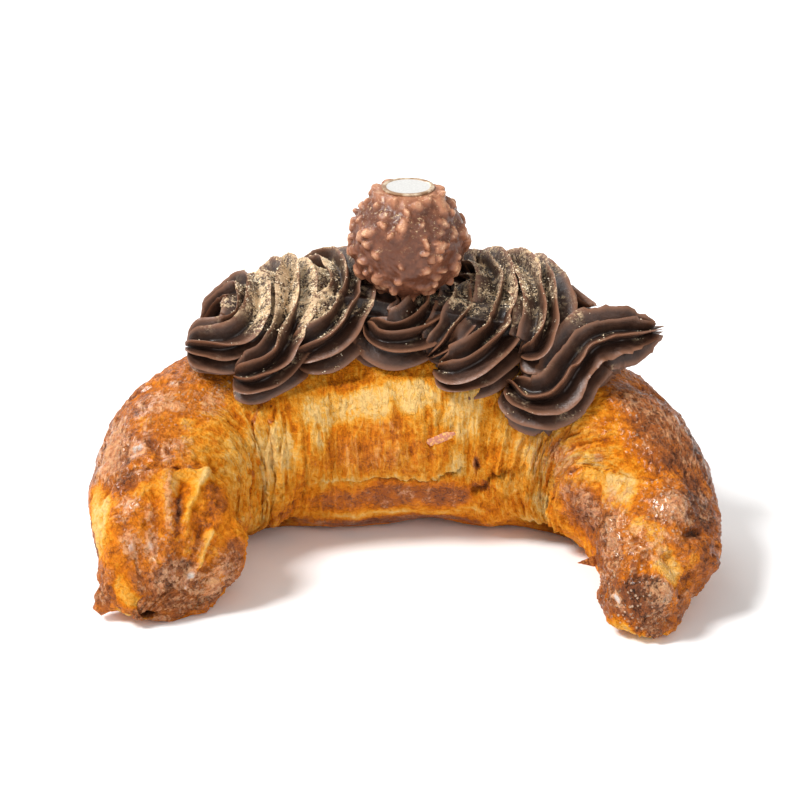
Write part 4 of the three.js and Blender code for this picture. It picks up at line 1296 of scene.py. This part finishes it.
def crust_material():
    n = Nodes("baked_crust")
    bake = n.attribute("bake")
    gloss = n.attribute("gloss")
    across = n.attribute("across")
    painted_sheen = n.attribute("painted_sheen")
    mottle = n.noise(n.here, 360, 4, 0.6)
    pores = n.noise(n.here, 800, 4, 0.7)
    bend = n.stretched(n.noise(n.here, 220, 2.0, 0.5, "Color"), (2.6, 2.6, 2.6))
    swirl = n.add("ShaderNodeVectorMath", {0: n.attribute("place", "Vector"), 1: bend}).outputs[0]
    fibres = n.noise(n.stretched(swirl, (0.85, 0.24, 0.24)), 1.0, 4, 0.6)
    # Fine streaks follow the layers, and everything is speckled by heat.
    streaks = n.times(n.ramp(fibres, 0.3, 0.7, -1, 1), across)
    clouds = n.ramp(mottle, 0.3, 0.7, 0.06, -0.06)
    specks = n.times(n.ramp(pores, 0.3, 0.7, 0.1, -0.1), n.ramp(gloss, 0, 1, 1, 0.6))
    # Fine dark wrinkles where two folds of the glaze meet.
    fold = n.math("ABSOLUTE", n.math("SUBTRACT", n.noise(n.here, 300, 4, 0.6), 0.5))
    wrinkle = n.ramp(fold, 0, 0.03, 1, 0)
    darker = n.times(wrinkle, n.ramp(gloss, 0, 1, 0.03, 0.16))
    level = n.weighted((bake, 1), (streaks, -0.1), (clouds, 1), (specks, 1), (darker, 1))
    colour = n.stops(n.times(level, 1.0, True), [
        (0.00, (255, 208, 130)), (0.16, (254, 187, 82)), (0.32, (249, 160, 40)), (0.46, (230, 128, 14)),
        (0.60, (192, 102, 16)), (0.74, (158, 84, 34)), (0.88, (114, 62, 34)), (1.00, (58, 30, 16)),
    ])
    # Painted sheen: pinkish-tan patches that stand for the glaze's broad highlights, torn into streaks
    # outside the bend and into patches on the horns.
    patches = n.noise(n.here, 820, 4, 0.68)
    drawn = n.noise(n.stretched(swirl, (0.32, 1.5, 1.5)), 1.0, 4, 0.62)
    torn = n.mix(n.mix(patches, drawn, n.attribute("lengthwise")), fibres, across)
    shown = n.ramp(n.weighted((torn, 1), (painted_sheen, 0.26)), 0.59, 0.67)
    shown = n.times(shown, n.times(painted_sheen, 1.6, True))
    sheen_tint = n.two_tone(pores, 0.35, 0.65, (218, 136, 84), (252, 194, 142))
    # Where the painted sheen passes 1 it turns near white, as painted glints.
    sheen_tint = n.paint(sheen_tint, n.ramp(painted_sheen, 1.0, 1.5), (246, 238, 228))
    cover = n.math("MAXIMUM", n.times(shown, 0.74), n.times(painted_sheen, 0.22), True)
    colour = n.blend(cover, colour, sheen_tint)
    # Pale dots on the blisters: partly their own paler colour, partly painted glints.
    cells = n.add("ShaderNodeTexVoronoi", {"Vector": n.here, "Scale": 820.0})
    chance = n.add("ShaderNodeSeparateXYZ", {0: cells.outputs["Color"]}).outputs["X"]
    dots = n.times(n.ramp(cells.outputs["Distance"], 0.34, 0.2), n.ramp(chance, 0.15, 0.35))
    dots = n.times(dots, n.times(n.attribute("blisters"), n.ramp(mottle, 0.36, 0.5)))
    colour = n.paint(colour, n.times(dots, 0.8), (242, 204, 172))
    # Painted shade: cracks, tear, pit, hollows and the end's mouth painted near black.
    colour = n.paint(colour, n.times(n.attribute("recess_shade"), 0.85), (70, 32, 12))
    height = n.weighted((streaks, 0.3), (pores, 2.2), (dots, 0.8),
                        (n.math("SUBTRACT", shown, wrinkle), 0.35), (mottle, 1.6))
    return n.surface(
        Base_Color=colour,
        Roughness=n.math("ADD", n.ramp(gloss, 0, 1, 0.6, 0.34), n.ramp(mottle, 0.3, 0.7, -0.06, 0.1)),
        Specular_IOR_Level=0.1,
        Coat_Weight=n.times(gloss, n.ramp(shown, 0, 1, 0.24, 0.7)),
        Coat_Roughness=0.14,
        Coat_IOR=1.45,
        Subsurface_Weight=0.05,
        Subsurface_Radius=(0.002, 0.001, 0.0004),
        Subsurface_Scale=1.0,
        Normal=n.bump(height, 1.0, 0.0008))


def ganache_material():
    n = Nodes("ganache")
    crest = n.attribute("crest")
    mottle = n.noise(n.here, 260, 4, 0.6)
    grain = n.noise(n.here, 2600, 3, 0.6)
    colour = n.two_tone(mottle, 0.35, 0.65, (58, 37, 27), (78, 52, 39))
    # Painted shade: the hollows between the crests painted near black.
    colour = n.paint(colour, n.ramp(crest, 0.0, 0.5, 0.85, 0.0), (30, 16, 10))
    # Painted highlight: the crests painted lighter.
    colour = n.paint(colour, n.ramp(crest, 0.6, 1.0, 0, 0.9), (132, 90, 66))
    # Powder lies on what faces up, in grains and clumps.
    powder = n.ramp(n.noise(n.here, 1100, 5, 0.75), 0.46, 0.56)
    clumps = n.ramp(n.noise(n.here, 330, 4, 0.65), 0.4, 0.6)
    cloud = n.times(n.attribute("dusted"), n.ramp(clumps, 0, 1, 0.55, 1.25))
    veil = n.times(n.ramp(n.upward(), -0.05, 0.55), n.ramp(cloud, 0.15, 0.9))
    veil = n.times(veil, n.math("MAXIMUM", powder, n.ramp(cloud, 0.8, 1.2, 0, 0.8)))
    height = n.weighted((grain, 0.3), (veil, 0.9), (mottle, 1.2))
    return n.surface(
        Base_Color=n.paint(colour, n.times(veil, 0.85), (255, 222, 178)),
        Roughness=n.weighted((n.ramp(grain, 0.3, 0.7, 0.32, 0.46), 1), (veil, 0.35)),
        Specular_IOR_Level=0.45,
        Normal=n.bump(height, 0.6, 0.0005))


def dust_material():
    n = Nodes("gold_dust")
    tint = n.noise(n.here, 700, 2)
    return n.surface(
        Base_Color=n.two_tone(tint, 0.35, 0.65, (226, 198, 152), (250, 236, 210)),
        Roughness=n.ramp(tint, 0.3, 0.7, 0.4, 0.6),
        Metallic=0.25)


def flake_material():
    n = Nodes("dry_flake")
    grain = n.noise(n.here, 1400, 3, 0.6)
    tone = n.math("ADD", n.attribute("tone"), n.ramp(grain, 0.35, 0.65, -0.3, 0.2))
    colours = [(0.0, (128, 62, 26)), (0.4, (206, 128, 58)), (0.7, (240, 182, 104)), (1.0, (200, 126, 100))]
    return n.surface(
        Base_Color=n.stops(tone, colours),
        Roughness=n.ramp(grain, 0.3, 0.7, 0.4, 0.6),
        Normal=n.bump(grain, 0.9, 0.0005))


def praline_material():
    n = Nodes("milk_chocolate")
    mottle = n.noise(n.here, 320, 4, 0.6)
    grain = n.noise(n.here, 1500, 3, 0.6)
    # Painted shade and light: darker in the hollows between the nuts, lighter on their tops.
    raised = n.math("ADD", n.attribute("raised"), n.ramp(mottle, 0.3, 0.7, -0.25, 0.25))
    colours = [(0.0, (100, 58, 40)), (0.3, (126, 77, 54)), (0.6, (148, 95, 68)), (1.0, (176, 118, 86))]
    # Paler nut tips: partly bare nut, partly painted highlight.
    nut_tips_and_highlights = n.times(n.attribute("nut_tips_and_highlights"), n.ramp(grain, 0.35, 0.6, 0.1, 0.9))
    colour = n.paint(n.stops(raised, colours), nut_tips_and_highlights, (246, 196, 156))
    # A little gold dust that reached the shell.
    specks = n.times(n.ramp(n.noise(n.here, 1300, 4, 0.75), 0.57, 0.66), n.ramp(n.upward(), 0.0, 0.7))
    return n.surface(
        Base_Color=n.paint(colour, n.times(specks, 0.55), (252, 220, 168)),
        Roughness=n.ramp(mottle, 0.3, 0.7, 0.34, 0.48),
        Specular_IOR_Level=0.42,
        Normal=n.bump(n.weighted((mottle, 1), (grain, 0.3)), 0.4, 0.0003))


def seal_material():
    n = Nodes("sealing_paper")
    fibre = n.noise(n.here, 1900, 4, 0.6)
    paper = n.two_tone(fibre, 0.3, 0.7, (192, 191, 188), (206, 205, 202))
    rim = n.ramp(n.attribute("reach"), 0.81, 0.84)
    worn = n.noise(n.here, 240, 3, 0.6)
    gold = n.two_tone(worn, 0.4, 0.6, (160, 124, 92), (222, 202, 174))
    return n.surface(
        Base_Color=n.blend(rim, paper, gold),
        Metallic=n.times(rim, 0.25),
        Roughness=n.ramp(rim, 0, 1, 0.55, 0.32),
        Normal=n.bump(fibre, 0.15, 0.0001))


def floor_material():
    n = Nodes("floor")
    shade = n.ramp(n.noise(n.here, 40, 2), 0.3, 0.7, 0.985, 1.0)
    white = n.add("ShaderNodeCombineColor", {0: shade, 1: shade, 2: shade}).outputs[0]
    return n.surface(Base_Color=white, Roughness=0.9, Specular_IOR_Level=0.1)


# Studio.

def make_camera():
    """Level with the crescent's open side, looking down on it."""
    camera = bpy.data.objects.new("camera", bpy.data.cameras.new("camera"))
    camera.data.lens = LENS
    camera.data.sensor_width = SENSOR
    camera.data.clip_end = FARTHEST
    rise = math.radians(ELEVATION)
    target = Vector(TARGET) * MM
    away = Vector((0, -math.cos(rise), math.sin(rise))) * DISTANCE * MM
    camera.location = target + away
    camera.rotation_euler = (-away).to_track_quat("-Z", "Y").to_euler()
    bpy.context.scene.collection.objects.link(camera)
    bpy.context.scene.camera = camera


def sun(name, towards, strength, spread):
    """A soft light from far away: towards points from the object to the light."""
    light = bpy.data.lights.new(name, "SUN")
    light.energy = strength
    light.angle = math.radians(spread)
    lamp = bpy.data.objects.new(name, light)
    lamp.rotation_euler = Vector(towards).to_track_quat("Z", "Y").to_euler()
    lamp.location = Vector(towards).normalized()
    bpy.context.scene.collection.objects.link(lamp)


def make_studio():
    near, far = -FLOOR_FRONT, FLOOR_BACK
    corners = [(near, near, 0), (-near, near, 0), (-near, far, 0), (near, far, 0)]
    floor = build("floor", corners, [(0, 1, 2, 3)], flat=True)
    floor.data.materials.append(floor_material())
    for name, light in LIGHTS.items():
        sun(name, *light)
    world = bpy.data.worlds.new("studio")
    world.use_nodes = True
    sky = world.node_tree.nodes["Background"]
    sky.inputs["Color"].default_value = SKY_COLOUR
    sky.inputs["Strength"].default_value = SKY_STRENGTH
    bpy.context.scene.world = world
    bpy.context.scene.view_settings.view_transform = "Standard"


make_camera()
crust_piece, crust = make_crust()
crust_piece.data.materials.append(crust_material())
make_flakes(crust).data.materials.append(flake_material())
border = make_ganache()
border.data.materials.clear()
border.data.materials.append(ganache_material())
make_dust(border).data.materials.append(dust_material())
make_praline().data.materials.append(praline_material())
make_seal().data.materials.append(seal_material())
make_studio()
